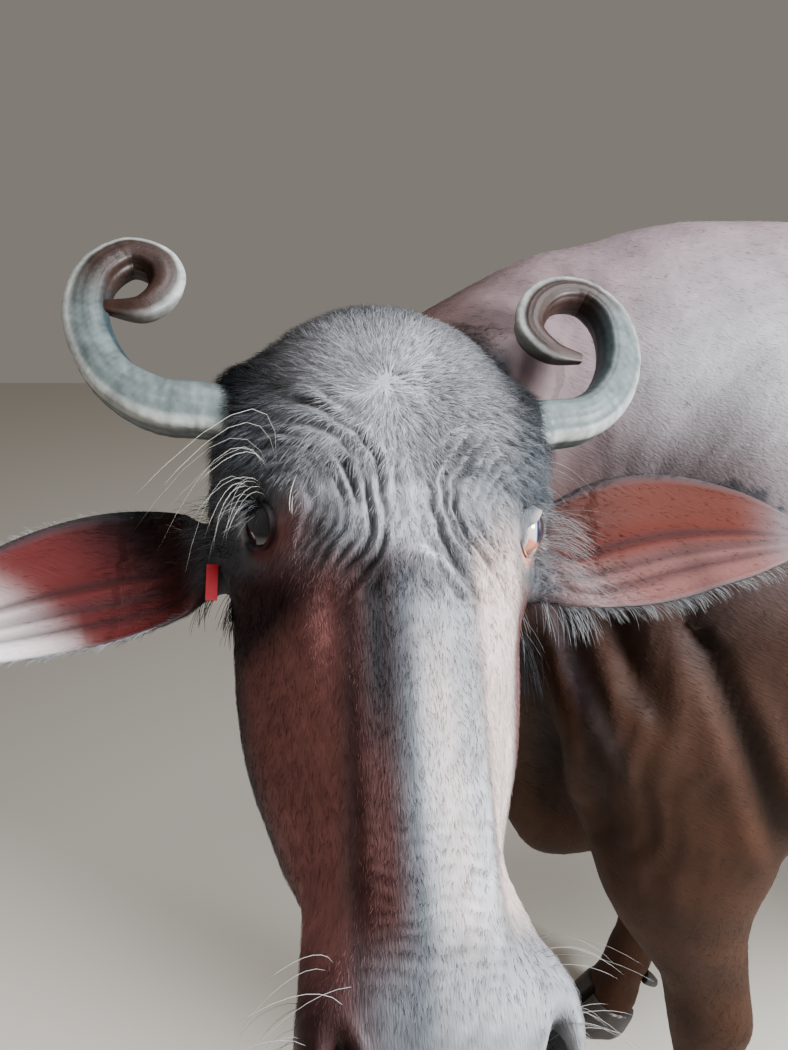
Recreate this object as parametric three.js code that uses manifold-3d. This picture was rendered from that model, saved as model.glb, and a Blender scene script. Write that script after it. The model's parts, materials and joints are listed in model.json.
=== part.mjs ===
// A life-size water buffalo cow of a tightly curled breed, standing still with its head turned to its left.
// Millimetres, +Z up. The trunk runs along X with the tail towards +X. The animal's left side faces -Y.
// While it is built, x = 0 is at the forehead, y = 0 is the trunk's middle plane and z = 0 is the floor.
// At the end the whole animal is moved so that the origin is below the middle of its bounding box.
import * as THREE from "three";
import { mergeVertices } from "three/addons/utils/BufferGeometryUtils.js";
import Module from "manifold-3d";

const wasm = await Module();
wasm.setup();

// Driving dimensions.
const GAP = 0.3; // clearance between two nodes that meet
const WITHERS = 1346; // height of the back above the shoulders
const CHEST_FLOOR = 606; // height of the underside between the forelegs
const CORONET_TOE = 74; // height of the hair line above a claw, at the toe
const CORONET_HEEL = 42; // the same at the heel
const FACE_PITCH = 42; // degrees that the line of the face points below the horizontal
const FACE_YAW = 5.7; // degrees that the muzzle is turned towards the tail's side
const FACE_ROLL = -8.4; // degrees that the head is rolled about the line of the face
const FACE_PLACE = new THREE.Vector3(4, -393, 1152); // the point between the eyes
const EYE_RADIUS = 19.5;
const EYE_PLACE = { u: 80, v: 3, w: -24 }; // centre of an eyeball in the head's frame
const EYE_AIM = { u: 0.83, v: -0.03, w: 0.55 };
const HORN_HALF = 21; // half thickness of a horn at its root, in the plane of its curl
const TAIL_ROOT = new THREE.Vector3(1462, 0, 1268);
const BODY_CELL = 15;
const HEAD_CELL = 7;
const BODY_TRIANGLES = 4900;
const HEAD_TRIANGLES = 4130;

// Colours seen on the real animal.
const HIDE = { color: 0x4a3c3b, roughness: 0.62, metalness: 0 };
const HEAD_HIDE = { color: 0x5a5356, roughness: 0.6, metalness: 0 };
const EAR_HIDE = { color: 0xa87b74, roughness: 0.65, metalness: 0 };
const HORN = { color: 0x74807e, roughness: 0.42, metalness: 0 };
const CLAW = { color: 0x2c2a29, roughness: 0.5, metalness: 0 };
const EYE = { color: 0x120f12, roughness: 0.08, metalness: 0 };
const HAIR = { color: 0xb9b0a2, roughness: 0.8, metalness: 0 };
const UDDER_SKIN = { color: 0x6e5552, roughness: 0.6, metalness: 0 };
const RED_STRIP = { color: 0xb3202a, roughness: 0.45, metalness: 0 };

// Frames: the head has its own axes, u to the animal's left, v down the face and w out of the face.
const rad = THREE.MathUtils.degToRad;

function headAxes() {
  const yaw = rad(FACE_YAW);
  const pitch = rad(FACE_PITCH);
  const roll = rad(FACE_ROLL);
  const along = Math.cos(pitch);
  const down = Math.sin(pitch);
  const v = new THREE.Vector3(Math.sin(yaw) * along, -Math.cos(yaw) * along, -down);
  const w0 = new THREE.Vector3(Math.sin(yaw) * down, -Math.cos(yaw) * down, along);
  const u0 = new THREE.Vector3(Math.cos(yaw), Math.sin(yaw), 0);
  const u = u0.clone().multiplyScalar(Math.cos(roll)).addScaledVector(w0, Math.sin(roll));
  const w = w0.clone().multiplyScalar(Math.cos(roll)).addScaledVector(u0, -Math.sin(roll));
  return { u, v, w };
}

const HEAD = headAxes();
const headToWorld = new THREE.Matrix4().makeBasis(HEAD.u, HEAD.v, HEAD.w).setPosition(FACE_PLACE);
const worldToHead = headToWorld.clone().invert();

// Maths: smooth joining of distance fields, and smooth curves through named stations.
function blendMin(a, b, k) {
  const h = Math.max(k - Math.abs(a - b), 0) / k;
  return Math.min(a, b) - h * h * k * 0.25;
}

function smoothStep(from, to, slopeFrom, slopeTo, f) {
  const f2 = f * f;
  const f3 = f2 * f;
  const ends = (2 * f3 - 3 * f2 + 1) * from + (3 * f2 - 2 * f3) * to;
  return ends + (f3 - 2 * f2 + f) * slopeFrom + (f3 - f2) * slopeTo;
}

function smoothRow(rows, at, column) {
  const i = Math.min(Math.floor(at), rows.length - 2);
  const before = rows[Math.max(i - 1, 0)][column];
  const from = rows[i][column];
  const to = rows[i + 1][column];
  const after = rows[Math.min(i + 2, rows.length - 1)][column];
  return smoothStep(from, to, (to - before) / 2, (after - from) / 2, at - i);
}

// A limb is a row of cross-sections along one direction, with rounded ends.
// Each station: [place along, middle across, middle up, half width, reach up, reach down, squareness].
const LIMB_SAMPLES = 120;

function makeLimb(rows, cap) {
  const low = rows[0][0];
  const high = rows[rows.length - 1][0];
  const slope = (j, c) => {
    const before = rows[Math.max(j - 1, 0)];
    const after = rows[Math.min(j + 1, rows.length - 1)];
    return (after[c] - before[c]) / (after[0] - before[0]);
  };
  const table = [];
  let i = 0;
  for (let k = 0; k <= LIMB_SAMPLES; k++) {
    const along = low + ((high - low) * k) / LIMB_SAMPLES;
    while (i < rows.length - 2 && rows[i + 1][0] < along) i++;
    const span = rows[i + 1][0] - rows[i][0];
    const f = (along - rows[i][0]) / span;
    const at = (c) => smoothStep(rows[i][c], rows[i + 1][c], slope(i, c) * span, slope(i + 1, c) * span, f);
    table.push([1, 2, 3, 4, 5, 6].map(at));
  }
  return { low, high, cap, table };
}

function limbDistance(limb, along, across, up) {
  const inside = Math.min(Math.max(along, limb.low), limb.high);
  const at = ((inside - limb.low) / (limb.high - limb.low)) * LIMB_SAMPLES;
  const k = Math.min(Math.floor(at), LIMB_SAMPLES - 1);
  const f = at - k;
  const p = limb.table[k];
  const q = limb.table[k + 1];
  const mix = (c) => p[c] + (q[c] - p[c]) * f;
  const side = Math.abs(across - mix(0));
  const rise = up - mix(1);
  const reach = rise > 0 ? mix(3) : mix(4);
  const n = mix(5);
  const flat = Math.pow(Math.pow(side / mix(2), n) + Math.pow(Math.abs(rise) / reach, n), 1 / n);
  const beyond = along - inside;
  const r = Math.hypot(flat, beyond / limb.cap);
  if (r < 1e-4) return -reach;
  const rho = Math.hypot(side, rise, beyond);
  return rho - rho / r;
}

function bulgeDistance(bulge, x, y, z) {
  const px = x - bulge.centre[0];
  const py = y - bulge.centre[1];
  const pz = z - bulge.centre[2];
  const r = Math.hypot(px / bulge.reach[0], py / bulge.reach[1], pz / bulge.reach[2]);
  if (r < 1e-4) return -Math.min(...bulge.reach);
  const rho = Math.hypot(px, py, pz);
  return rho - rho / r;
}

// The head's field, in its own frame. Each row: v down the face, with the widest place's depth.
const skull = makeLimb(
  [
    [-182, 0, -58, 66, 52, 46, 2.1],
    [-150, 0, -50, 98, 80, 84, 2.2],
    [-100, 0, -42, 112, 90, 106, 2.3],
    [-50, 0, -40, 111, 82, 112, 2.4],
    [0, 0, -40, 106, 73, 112, 2.5],
    [60, 0, -44, 88, 69, 100, 2.4],
    [120, 0, -46, 71, 67, 80, 2.3],
    [175, 0, -46, 60, 64, 62, 2.4],
    [225, 1, -43, 54, 58, 52, 2.5],
    [270, 4, -42, 62, 51, 46, 2.5],
    [305, 7, -44, 74, 44, 42, 2.5],
    [330, 9, -50, 76, 32, 36, 2.4],
  ],
  26,
);
const jaw = makeLimb(
  [
    [-30, 0, -150, 64, 50, 52, 2.3],
    [40, 0, -152, 62, 60, 46, 2.4],
    [120, 0, -126, 50, 50, 38, 2.4],
    [200, 0, -104, 40, 40, 30, 2.3],
    [270, 0, -94, 40, 34, 26, 2.3],
    [316, 0, -88, 40, 26, 26, 2.2],
  ],
  24,
);
const headBulges = [];
for (const s of [-1, 1]) {
  headBulges.push(
    { centre: [s * 74, 58, -102], reach: [34, 112, 60], blend: 30 }, // cheek muscle
    { centre: [s * 56, 152, -98], reach: [28, 78, 44], blend: 34 }, // lower end of the cheek
    { centre: [s * 90, -10, -36], reach: [32, 44, 34], blend: 26 }, // orbit
    { centre: [s * 98, -38, -26], reach: [25, 30, 22], blend: 24 }, // brow
    { centre: [s * 110, -98, -20], reach: [28, 34, 32], blend: 30 }, // boss below a horn
    { centre: [s * 106, -10, -70], reach: [26, 34, 34], blend: 22 }, // root of an ear
    { centre: [7 + s * 60, 296, -26], reach: [26, 38, 25], blend: 18 }, // wing of a nostril
    { centre: [5 + s * 56, 262, -60], reach: [20, 44, 22], blend: 18 }, // side of the upper lip
  );
}
headBulges.push(
  { centre: [8, 326, -44], reach: [66, 36, 40], blend: 26 }, // nose pad
  { centre: [0, 316, -100], reach: [38, 34, 22], blend: 20 }, // chin
  { centre: [0, -136, -10], reach: [70, 56, 40], blend: 40 }, // dome of the forehead
);

const ORBIT_OUT = 30;
const ORBIT_RADIUS = 23;
const LID_RADIUS = 23.2;

function headField(u, v, w) {
  let d = blendMin(limbDistance(skull, v, u, w), limbDistance(jaw, v, u, w), 40);
  for (const b of headBulges) d = blendMin(d, bulgeDistance(b, u, v, w), b.blend);
  // Each eye lies in a shallow orbit, under lids that follow the ball.
  const side = u < 0 ? -1 : 1;
  const eu = u - side * EYE_PLACE.u;
  const ev = v - EYE_PLACE.v;
  const ew = w - EYE_PLACE.w;
  const out = ORBIT_OUT;
  const orbit = Math.hypot(eu - side * out * EYE_AIM.u, ev - out * EYE_AIM.v, ew - out * EYE_AIM.w);
  d = -blendMin(-d, orbit - ORBIT_RADIUS, 14);
  return blendMin(d, Math.hypot(eu, ev, ew) - LID_RADIUS, 7);
}

// The trunk runs from the chest to the pin bones, with its sections across X.
const UP = new THREE.Vector3(0, 0, 1);
const FRONT = new THREE.Vector3(-1, 0, 0);
const SIDEWAYS = new THREE.Vector3(0, 1, 0);
const trunk = makeLimb(
  [
    [150, 0, 900, 120, 250, 190, 2.1],
    [235, 0, 950, 196, 340, 300, 2.1],
    [400, 0, 960, 240, WITHERS - 970, 960 - CHEST_FLOOR, 2.1],
    [600, 0, 930, 276, 400, 930 - 598, 2.2],
    [820, 0, 890, 326, 432, 890 - 560, 2.3],
    [1040, 0, 930, 324, 394, 930 - 585, 2.35],
    [1200, 0, 1040, 268, 292, 330, 2.35],
    [1350, 0, 1090, 232, 208, 250, 2.3],
    [1470, 0, 1120, 168, 140, 150, 2.2],
  ],
  60,
);
const brisket = makeLimb(
  [
    [128, 0, 726, 58, 60, 100, 2],
    [190, 0, 636, 76, 70, 108, 2],
    [290, 0, 628, 92, 60, 78, 2],
    [430, 0, 660, 90, 60, 60, 2],
  ],
  46,
);
const backbone = makeLimb(
  [
    [330, 0, 1302, 26, 30, 60, 2],
    [480, 0, 1308, 24, 30, 60, 2],
    [760, 0, 1296, 24, 26, 50, 2],
    [1040, 0, 1300, 26, 26, 50, 2],
    [1230, 0, 1304, 34, 24, 50, 2],
    [1430, 0, 1256, 34, 26, 50, 2],
  ],
  30,
);

// The neck bends to the left in a level arc about a hub, so its sections stand at angles about that hub.
// Each station: [degrees, radius, height, half width, reach up, reach down, squareness].
const NECK_HUB = [330, -340];
const NECK_RADIUS = 348;
const ARC = rad(NECK_RADIUS); // millimetres of arc for one degree

function makeBend(rows, cap) {
  return makeLimb(rows.map(([degrees, ...rest]) => [degrees * ARC, ...rest]), cap);
}

function bendDistance(limb, x, y, z) {
  const px = x - NECK_HUB[0];
  const py = y - NECK_HUB[1];
  const turned = THREE.MathUtils.radToDeg(Math.atan2(py, px));
  return limbDistance(limb, (turned < -90 ? turned + 360 : turned) * ARC, Math.hypot(px, py), z);
}

const neck = makeBend(
  [
    [70, 345, 1090, 150, 226, 300, 2.1],
    [90, 347, 1085, 150, 240, 310, 2.1],
    [105, 347, 1085, 142, 246, 300, 2.1],
    [120, 349, 1090, 124, 233, 268, 2.1],
    [135, 350, 1100, 106, 192, 225, 2.1],
    [150, 352, 1112, 93, 152, 180, 2.1],
    [163, 354, 1126, 84, 112, 140, 2.1],
    [172, 356, 1136, 78, 92, 115, 2.1],
  ],
  30,
);
const dewlap = makeBend(
  [
    [100, 330, 820, 36, 90, 70, 2],
    [125, 340, 890, 28, 90, 54, 2],
    [150, 352, 962, 20, 70, 34, 2],
  ],
  24,
);

// Leg stations: [height, Y, X, half width, reach to the front, reach to the rear, squareness].
function forelegRows(foot, side) {
  const [fx, fy] = foot;
  return [
    [40, fy, fx - 18, 53, 46, 46, 2.5],
    [70, fy, fx - 10, 52, 42, 44, 2.5],
    [104, fy, fx - 2, 44, 37, 40, 2.3],
    [148, fy, fx + 10, 45, 40, 44, 2.3],
    [200, fy, fx + 14, 36, 32, 36, 2.2],
    [300, fy, fx + 15, 35, 33, 35, 2.2],
    [362, fy, fx + 14, 46, 46, 46, 2.4],
    [420, fy + side * 3, fx + 11, 54, 56, 54, 2.5],
    [490, fy + side * 8, fx - 10, 50, 56, 58, 2.2],
    [600, fy * 1.08, fx - 44, 66, 92, 74, 2.1],
    [700, fy * 1.1, fx - 50, 78, 118, 96, 2.1],
    [800, fy * 1.06, fx - 60, 84, 105, 100, 2.1],
    [905, fy * 0.98, fx - 140, 78, 80, 80, 2],
  ];
}

function hindlegRows(foot) {
  const [fx, fy] = foot;
  return [
    [40, fy, fx - 16, 52, 45, 45, 2.5],
    [70, fy, fx - 8, 50, 41, 43, 2.5],
    [108, fy, fx + 3, 44, 36, 40, 2.3],
    [158, fy, fx + 18, 45, 39, 44, 2.3],
    [250, fy, fx + 26, 36, 31, 36, 2.2],
    [410, fy, fx + 36, 36, 32, 38, 2.3],
    [490, fy, fx + 38, 40, 42, 46, 2.3],
    [560, fy * 1.04, fx + 34, 45, 56, 60, 2.2],
    [630, fy * 1.1, fx - 4, 50, 58, 66, 2.1],
    [720, fy * 1.16, fx - 58, 66, 92, 88, 2.1],
    [820, fy * 1.18, fx - 100, 86, 128, 132, 2.2],
    [930, fy * 1.04, fx - 92, 98, 165, 165, 2.2],
    [1080, fy * 0.8, fx - 60, 92, 150, 170, 2.1],
  ];
}

const FEET = {
  foreleg_left: { foot: [388, -168], side: -1, fore: true },
  foreleg_right: { foot: [404, 150], side: 1, fore: true },
  hindleg_left: { foot: [1330, -158], side: -1, fore: false },
  hindleg_right: { foot: [1450, 150], side: 1, fore: false },
};
const towardsFront = (rows) => rows.map(([z, y, x, ...sizes]) => [z, y, -x, ...sizes]);
const legs = Object.entries(FEET).map(([name, leg]) => {
  const rows = leg.fore ? forelegRows(leg.foot, leg.side) : hindlegRows(leg.foot);
  return { name, ...leg, limb: makeLimb(towardsFront(rows), 14) };
});
const bodyBulges = [];
for (const s of [-1, 1]) {
  bodyBulges.push(
    { centre: [392, s * 196, 1060], reach: [92, 46, 190], blend: 80 }, // shoulder blade
    { centre: [250, s * 172, 872], reach: [92, 66, 96], blend: 90 }, // point of the shoulder
    { centre: [1196, s * 205, 1238], reach: [64, 46, 46], blend: 90 }, // hip bone
    { centre: [1478, s * 104, 1180], reach: [48, 42, 50], blend: 70 }, // pin bone
  );
}
const teats = [];
for (const s of [-1, 1]) {
  bodyBulges.push({ centre: [1228, s * 44, 652], reach: [122, 60, 92], blend: 34 }); // half of the udder
  for (const [x, high] of [[1172, 584], [1268, 590]]) {
    const rows = [
      [high - 72, s * 56, x - 4, 12, 12, 12, 2],
      [high - 40, s * 54, x - 3, 15, 15, 15, 2],
      [high, s * 50, x, 21, 21, 21, 2],
    ];
    teats.push(makeLimb(towardsFront(rows), 10));
  }
}
const hollows = [];
for (const s of [-1, 1]) {
  hollows.push(
    { centre: [1085, s * 262, 1215], reach: [92, 90, 78], depth: 24 }, // hunger hollow before the hip
    { centre: [1350, s * 210, 1190], reach: [110, 90, 70], depth: 12 }, // between hip and pin bones
    { centre: [560, s * 262, 860], reach: [46, 120, 230], depth: 16 }, // behind the shoulder
    { centre: [1150, s * 262, 760], reach: [80, 90, 110], depth: 20 }, // before the stifle
  );
}

function hollowDepth(hollow, x, y, z) {
  const px = (x - hollow.centre[0]) / hollow.reach[0];
  const py = (y - hollow.centre[1]) / hollow.reach[1];
  const pz = (z - hollow.centre[2]) / hollow.reach[2];
  return hollow.depth * Math.exp(-(px * px + py * py + pz * pz));
}

const probe = new THREE.Vector3();
const HEAD_REACH = 420;
const CHEST_END = 760;

// The whole animal's field: trunk, neck, legs and head flow into one another.
function animalField(x, y, z) {
  let d = limbDistance(trunk, x, y, z);
  for (const b of bodyBulges) d = blendMin(d, bulgeDistance(b, x, y, z), b.blend);
  for (const h of hollows) d += hollowDepth(h, x, y, z);
  d = blendMin(d, limbDistance(backbone, x, y, z), 50);
  if (x < CHEST_END) {
    d = blendMin(d, bendDistance(neck, x, y, z), 100);
    d = blendMin(d, limbDistance(brisket, x, y, z), 70);
    d = blendMin(d, bendDistance(dewlap, x, y, z), 60);
  }
  for (const leg of legs) d = blendMin(d, limbDistance(leg.limb, z, y, -x), 70);
  for (const teat of teats) d = blendMin(d, limbDistance(teat, z, y, -x), 16);
  probe.set(x, y, z).applyMatrix4(worldToHead);
  if (probe.length() < HEAD_REACH) d = blendMin(d, headField(probe.x, probe.y, probe.z), 44);
  return d;
}

// Closed surface of a field: each cube of the grid is split into six tetrahedra.
const TETS = [
  [0, 1, 3, 7],
  [0, 1, 5, 7],
  [0, 2, 3, 7],
  [0, 2, 6, 7],
  [0, 4, 5, 7],
  [0, 4, 6, 7],
];

function surfaceOf(field, low, high, cell) {
  const n = [0, 1, 2].map((c) => Math.ceil((high[c] - low[c]) / cell));
  const row = n[0] + 1;
  const layer = row * (n[1] + 1);
  const values = new Float32Array(layer * (n[2] + 1)).fill(NaN);
  const place = (index) => {
    const k = Math.floor(index / layer);
    const j = Math.floor((index - k * layer) / row);
    return [low[0] + (index - k * layer - j * row) * cell, low[1] + j * cell, low[2] + k * cell];
  };
  const past = (p, c) => Math.max(low[c] + cell - p[c], p[c] - high[c] + 2 * cell);
  const outOfBox = (p) => Math.max(past(p, 0), past(p, 1), past(p, 2));
  const bounded = (p) => Math.max(field(p[0], p[1], p[2]), outOfBox(p));
  const valueAt = (index) => {
    if (Number.isNaN(values[index])) values[index] = bounded(place(index)) || 1e-5;
    return values[index];
  };
  const points = [];
  const triangles = [];
  const edges = new Map();
  const crossing = (a, b) => {
    const from = Math.min(a, b);
    const to = Math.max(a, b);
    const key = from * 4 * layer + (to - from);
    if (edges.has(key)) return edges.get(key);
    const va = valueAt(from);
    const t = Math.min(Math.max(va / (va - valueAt(to)), 0.08), 0.92);
    const p = place(from);
    const q = place(to);
    points.push(p[0] + (q[0] - p[0]) * t, p[1] + (q[1] - p[1]) * t, p[2] + (q[2] - p[2]) * t);
    edges.set(key, points.length / 3 - 1);
    return points.length / 3 - 1;
  };
  const addTriangle = (i, j, k, inside, outside) => {
    const at = (m) => new THREE.Vector3(points[3 * m], points[3 * m + 1], points[3 * m + 2]);
    const normal = at(j).sub(at(i)).cross(at(k).sub(at(i)));
    const a = place(inside);
    const b = place(outside);
    const out = normal.x * (b[0] - a[0]) + normal.y * (b[1] - a[1]) + normal.z * (b[2] - a[2]);
    triangles.push(i, out > 0 ? j : k, out > 0 ? k : j);
  };
  const splitTet = (corners) => {
    const inner = corners.filter((c) => valueAt(c) < 0);
    const outer = corners.filter((c) => valueAt(c) >= 0);
    if (inner.length === 0 || outer.length === 0) return;
    if (inner.length === 2) {
      const a = crossing(inner[0], outer[0]);
      const b = crossing(inner[0], outer[1]);
      const c = crossing(inner[1], outer[1]);
      const d = crossing(inner[1], outer[0]);
      addTriangle(a, b, c, inner[0], outer[1]);
      addTriangle(a, c, d, inner[1], outer[0]);
      return;
    }
    const lone = inner.length === 1 ? inner[0] : outer[0];
    const rest = inner.length === 1 ? outer : inner;
    const [a, b, c] = rest.map((r) => crossing(lone, r));
    addTriangle(a, b, c, inner[0], outer[0]);
  };
  const BLOCK = 5;
  const near = BLOCK * cell * 0.87 * 2.4;
  for (let bk = 0; bk < n[2]; bk += BLOCK) {
    for (let bj = 0; bj < n[1]; bj += BLOCK) {
      for (let bi = 0; bi < n[0]; bi += BLOCK) {
        const middle = [bi, bj, bk].map((b, c) => low[c] + (b + BLOCK / 2) * cell);
        if (Math.abs(bounded(middle)) > near) continue;
        for (let k = bk; k < Math.min(bk + BLOCK, n[2]); k++) {
          for (let j = bj; j < Math.min(bj + BLOCK, n[1]); j++) {
            for (let i = bi; i < Math.min(bi + BLOCK, n[0]); i++) {
              const base = i + j * row + k * layer;
              const corner = (c) => base + (c & 1) + ((c >> 1) & 1) * row + ((c >> 2) & 1) * layer;
              const first = valueAt(base) < 0;
              let mixed = false;
              for (let c = 1; c < 8 && !mixed; c++) mixed = valueAt(corner(c)) < 0 !== first;
              if (mixed) TETS.forEach((tet) => splitTet(tet.map(corner)));
            }
          }
        }
      }
    }
  }
  return { points, triangles };
}

// Fewer triangles for the same surface: the cheapest edge is closed up again and again.
// The cost is the squared distance to the planes of the first surface, kept as a quadric at each point.
function simplified({ points, triangles }, target) {
  const count = points.length / 3;
  const quadrics = new Float64Array(count * 10);
  const around = Array.from({ length: count }, () => new Set());
  const corners = Int32Array.from(triangles);
  const alive = new Uint8Array(corners.length / 3).fill(1);
  const version = new Int32Array(count);
  const normalOf = (a, b, c) => {
    const ux = points[3 * b] - points[3 * a];
    const uy = points[3 * b + 1] - points[3 * a + 1];
    const uz = points[3 * b + 2] - points[3 * a + 2];
    const vx = points[3 * c] - points[3 * a];
    const vy = points[3 * c + 1] - points[3 * a + 1];
    const vz = points[3 * c + 2] - points[3 * a + 2];
    return [uy * vz - uz * vy, uz * vx - ux * vz, ux * vy - uy * vx];
  };
  const EVEN = 0.002; // a small pull towards the first points keeps triangles even on flat places
  for (let t = 0; t < alive.length; t++) {
    const [a, b, c] = [corners[3 * t], corners[3 * t + 1], corners[3 * t + 2]];
    const normal = normalOf(a, b, c);
    const length = Math.hypot(...normal) || 1e-9;
    const [nx, ny, nz] = normal.map((x) => x / length);
    const area = length / 2;
    for (const p of [a, b, c]) {
      around[p].add(t);
      const [x, y, z] = [points[3 * p], points[3 * p + 1], points[3 * p + 2]];
      const d = -(nx * x + ny * y + nz * z);
      const e = EVEN;
      const first = [nx * nx + e, nx * ny, nx * nz, nx * d - e * x, ny * ny + e];
      const reach = x * x + y * y + z * z;
      const last = [ny * nz, ny * d - e * y, nz * nz + e, nz * d - e * z, d * d + e * reach];
      const terms = [...first, ...last];
      terms.forEach((term, i) => {
        quadrics[10 * p + i] += term * area;
      });
    }
  }
  const cost = (q, x, y, z) =>
    q[0] * x * x + 2 * q[1] * x * y + 2 * q[2] * x * z + 2 * q[3] * x + q[4] * y * y +
    2 * q[5] * y * z + 2 * q[6] * y + q[7] * z * z + 2 * q[8] * z + q[9];
  const heap = [];
  const push = (entry) => {
    let i = heap.push(entry) - 1;
    while (i > 0) {
      const parent = (i - 1) >> 1;
      if (heap[parent].cost <= entry.cost) break;
      heap[i] = heap[parent];
      i = parent;
    }
    heap[i] = entry;
  };
  const pop = () => {
    const top = heap[0];
    const last = heap.pop();
    if (heap.length === 0) return top;
    let i = 0;
    for (;;) {
      let child = 2 * i + 1;
      if (child >= heap.length) break;
      if (child + 1 < heap.length && heap[child + 1].cost < heap[child].cost) child++;
      if (heap[child].cost >= last.cost) break;
      heap[i] = heap[child];
      i = child;
    }
    heap[i] = last;
    return top;
  };
  const offer = (a, b) => {
    const q = new Float64Array(10);
    for (let i = 0; i < 10; i++) q[i] = quadrics[10 * a + i] + quadrics[10 * b + i];
    const best = new THREE.Vector3(-q[3], -q[6], -q[8]);
    best.applyMatrix3(new THREE.Matrix3(q[0], q[1], q[2], q[1], q[4], q[5], q[2], q[5], q[7]).invert());
    const { x, y, z } = best;
    push({ cost: cost(q, x, y, z), a, b, seen: version[a] + version[b], x, y, z });
  };
  const neighbours = (p) => {
    const found = new Set();
    for (const t of around[p]) for (let i = 0; i < 3; i++) found.add(corners[3 * t + i]);
    found.delete(p);
    return found;
  };
  const offerAll = () => {
    for (let t = 0; t < alive.length; t++) {
      for (let i = 0; i < 3 && alive[t]; i++) {
        const a = corners[3 * t + i];
        const b = corners[3 * t + ((i + 1) % 3)];
        if (a < b) offer(a, b);
      }
    }
    return heap.length;
  };
  // A collapse is refused where it would fold a face over, or make a thin sliver of it.
  const thinness = (tri, size) => {
    const edge = tri.reduce((most, m, i) => {
      const o = tri[(i + 1) % 3];
      const [x, y, z] = [0, 1, 2].map((c) => points[3 * m + c] - points[3 * o + c]);
      return Math.max(most, x * x + y * y + z * z);
    }, 1e-9);
    return size / edge;
  };
  const THINNEST = 0.03;
  const DEAREST = 1e8;
  const folds = (p, other, x, y, z) => {
    const kept = [points[3 * p], points[3 * p + 1], points[3 * p + 2]];
    for (const t of around[p]) {
      const tri = [corners[3 * t], corners[3 * t + 1], corners[3 * t + 2]];
      if (tri.includes(other)) continue;
      const before = normalOf(...tri);
      const sizeBefore = Math.hypot(...before);
      const thinBefore = thinness(tri, sizeBefore);
      [points[3 * p], points[3 * p + 1], points[3 * p + 2]] = [x, y, z];
      const after = normalOf(...tri);
      const size = Math.hypot(...after);
      const thin = thinness(tri, size);
      [points[3 * p], points[3 * p + 1], points[3 * p + 2]] = kept;
      const dot = before[0] * after[0] + before[1] * after[1] + before[2] * after[2];
      if (dot < 0.15 * sizeBefore * size || (thin < THINNEST && thin < thinBefore)) return true;
    }
    return false;
  };
  let left = alive.length;
  let ceiling = 1; // refused edges are tried again before dearer ones are closed up
  while (left > target && ceiling < DEAREST) {
    if (heap.length === 0 || heap[0].cost > ceiling) {
      ceiling *= 2.5;
      heap.length = 0;
      offerAll();
      continue;
    }
    const { a, b, seen, x, y, z } = pop();
    if (around[a].size === 0 || around[b].size === 0 || seen !== version[a] + version[b]) continue;
    const shared = [...around[a]].filter((t) => around[b].has(t));
    if (shared.length !== 2) continue;
    const nearB = neighbours(b);
    const common = [...neighbours(a)].filter((p) => nearB.has(p));
    if (common.length !== 2) continue;
    if (folds(a, b, x, y, z) || folds(b, a, x, y, z)) continue;
    for (const t of shared) {
      alive[t] = 0;
      for (let i = 0; i < 3; i++) around[corners[3 * t + i]].delete(t);
      left--;
    }
    for (const t of around[b]) {
      for (let i = 0; i < 3; i++) if (corners[3 * t + i] === b) corners[3 * t + i] = a;
      around[a].add(t);
    }
    around[b].clear();
    points[3 * a] = x;
    points[3 * a + 1] = y;
    points[3 * a + 2] = z;
    for (let i = 0; i < 10; i++) quadrics[10 * a + i] += quadrics[10 * b + i];
    version[a] += 1000;
    for (const p of neighbours(a)) offer(Math.min(a, p), Math.max(a, p));
  }
  const renumber = new Map();
  const outPoints = [];
  const outTriangles = [];
  for (let t = 0; t < alive.length; t++) {
    if (!alive[t]) continue;
    for (let i = 0; i < 3; i++) {
      const p = corners[3 * t + i];
      if (!renumber.has(p)) {
        renumber.set(p, outPoints.length / 3);
        outPoints.push(points[3 * p], points[3 * p + 1], points[3 * p + 2]);
      }
      outTriangles.push(renumber.get(p));
    }
  }
  return { points: outPoints, triangles: outTriangles };
}

// Solids for joining and cutting.
function solidOf({ points, triangles }) {
  const mesh = new wasm.Mesh({
    numProp: 3,
    vertProperties: new Float32Array(points),
    triVerts: new Uint32Array(triangles),
  });
  return new wasm.Manifold(mesh);
}

function solidOfGeometry(geometry, matrix) {
  const bare = new THREE.BufferGeometry();
  bare.setAttribute("position", geometry.getAttribute("position").clone());
  bare.setIndex(geometry.getIndex());
  bare.applyMatrix4(matrix);
  const merged = mergeVertices(bare, 1e-3);
  const triangles = Array.from(merged.index.array);
  if (matrix.determinant() < 0) triangles.reverse(); // a mirroring frame turns each face round
  return solidOf({ points: merged.attributes.position.array, triangles });
}

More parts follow.
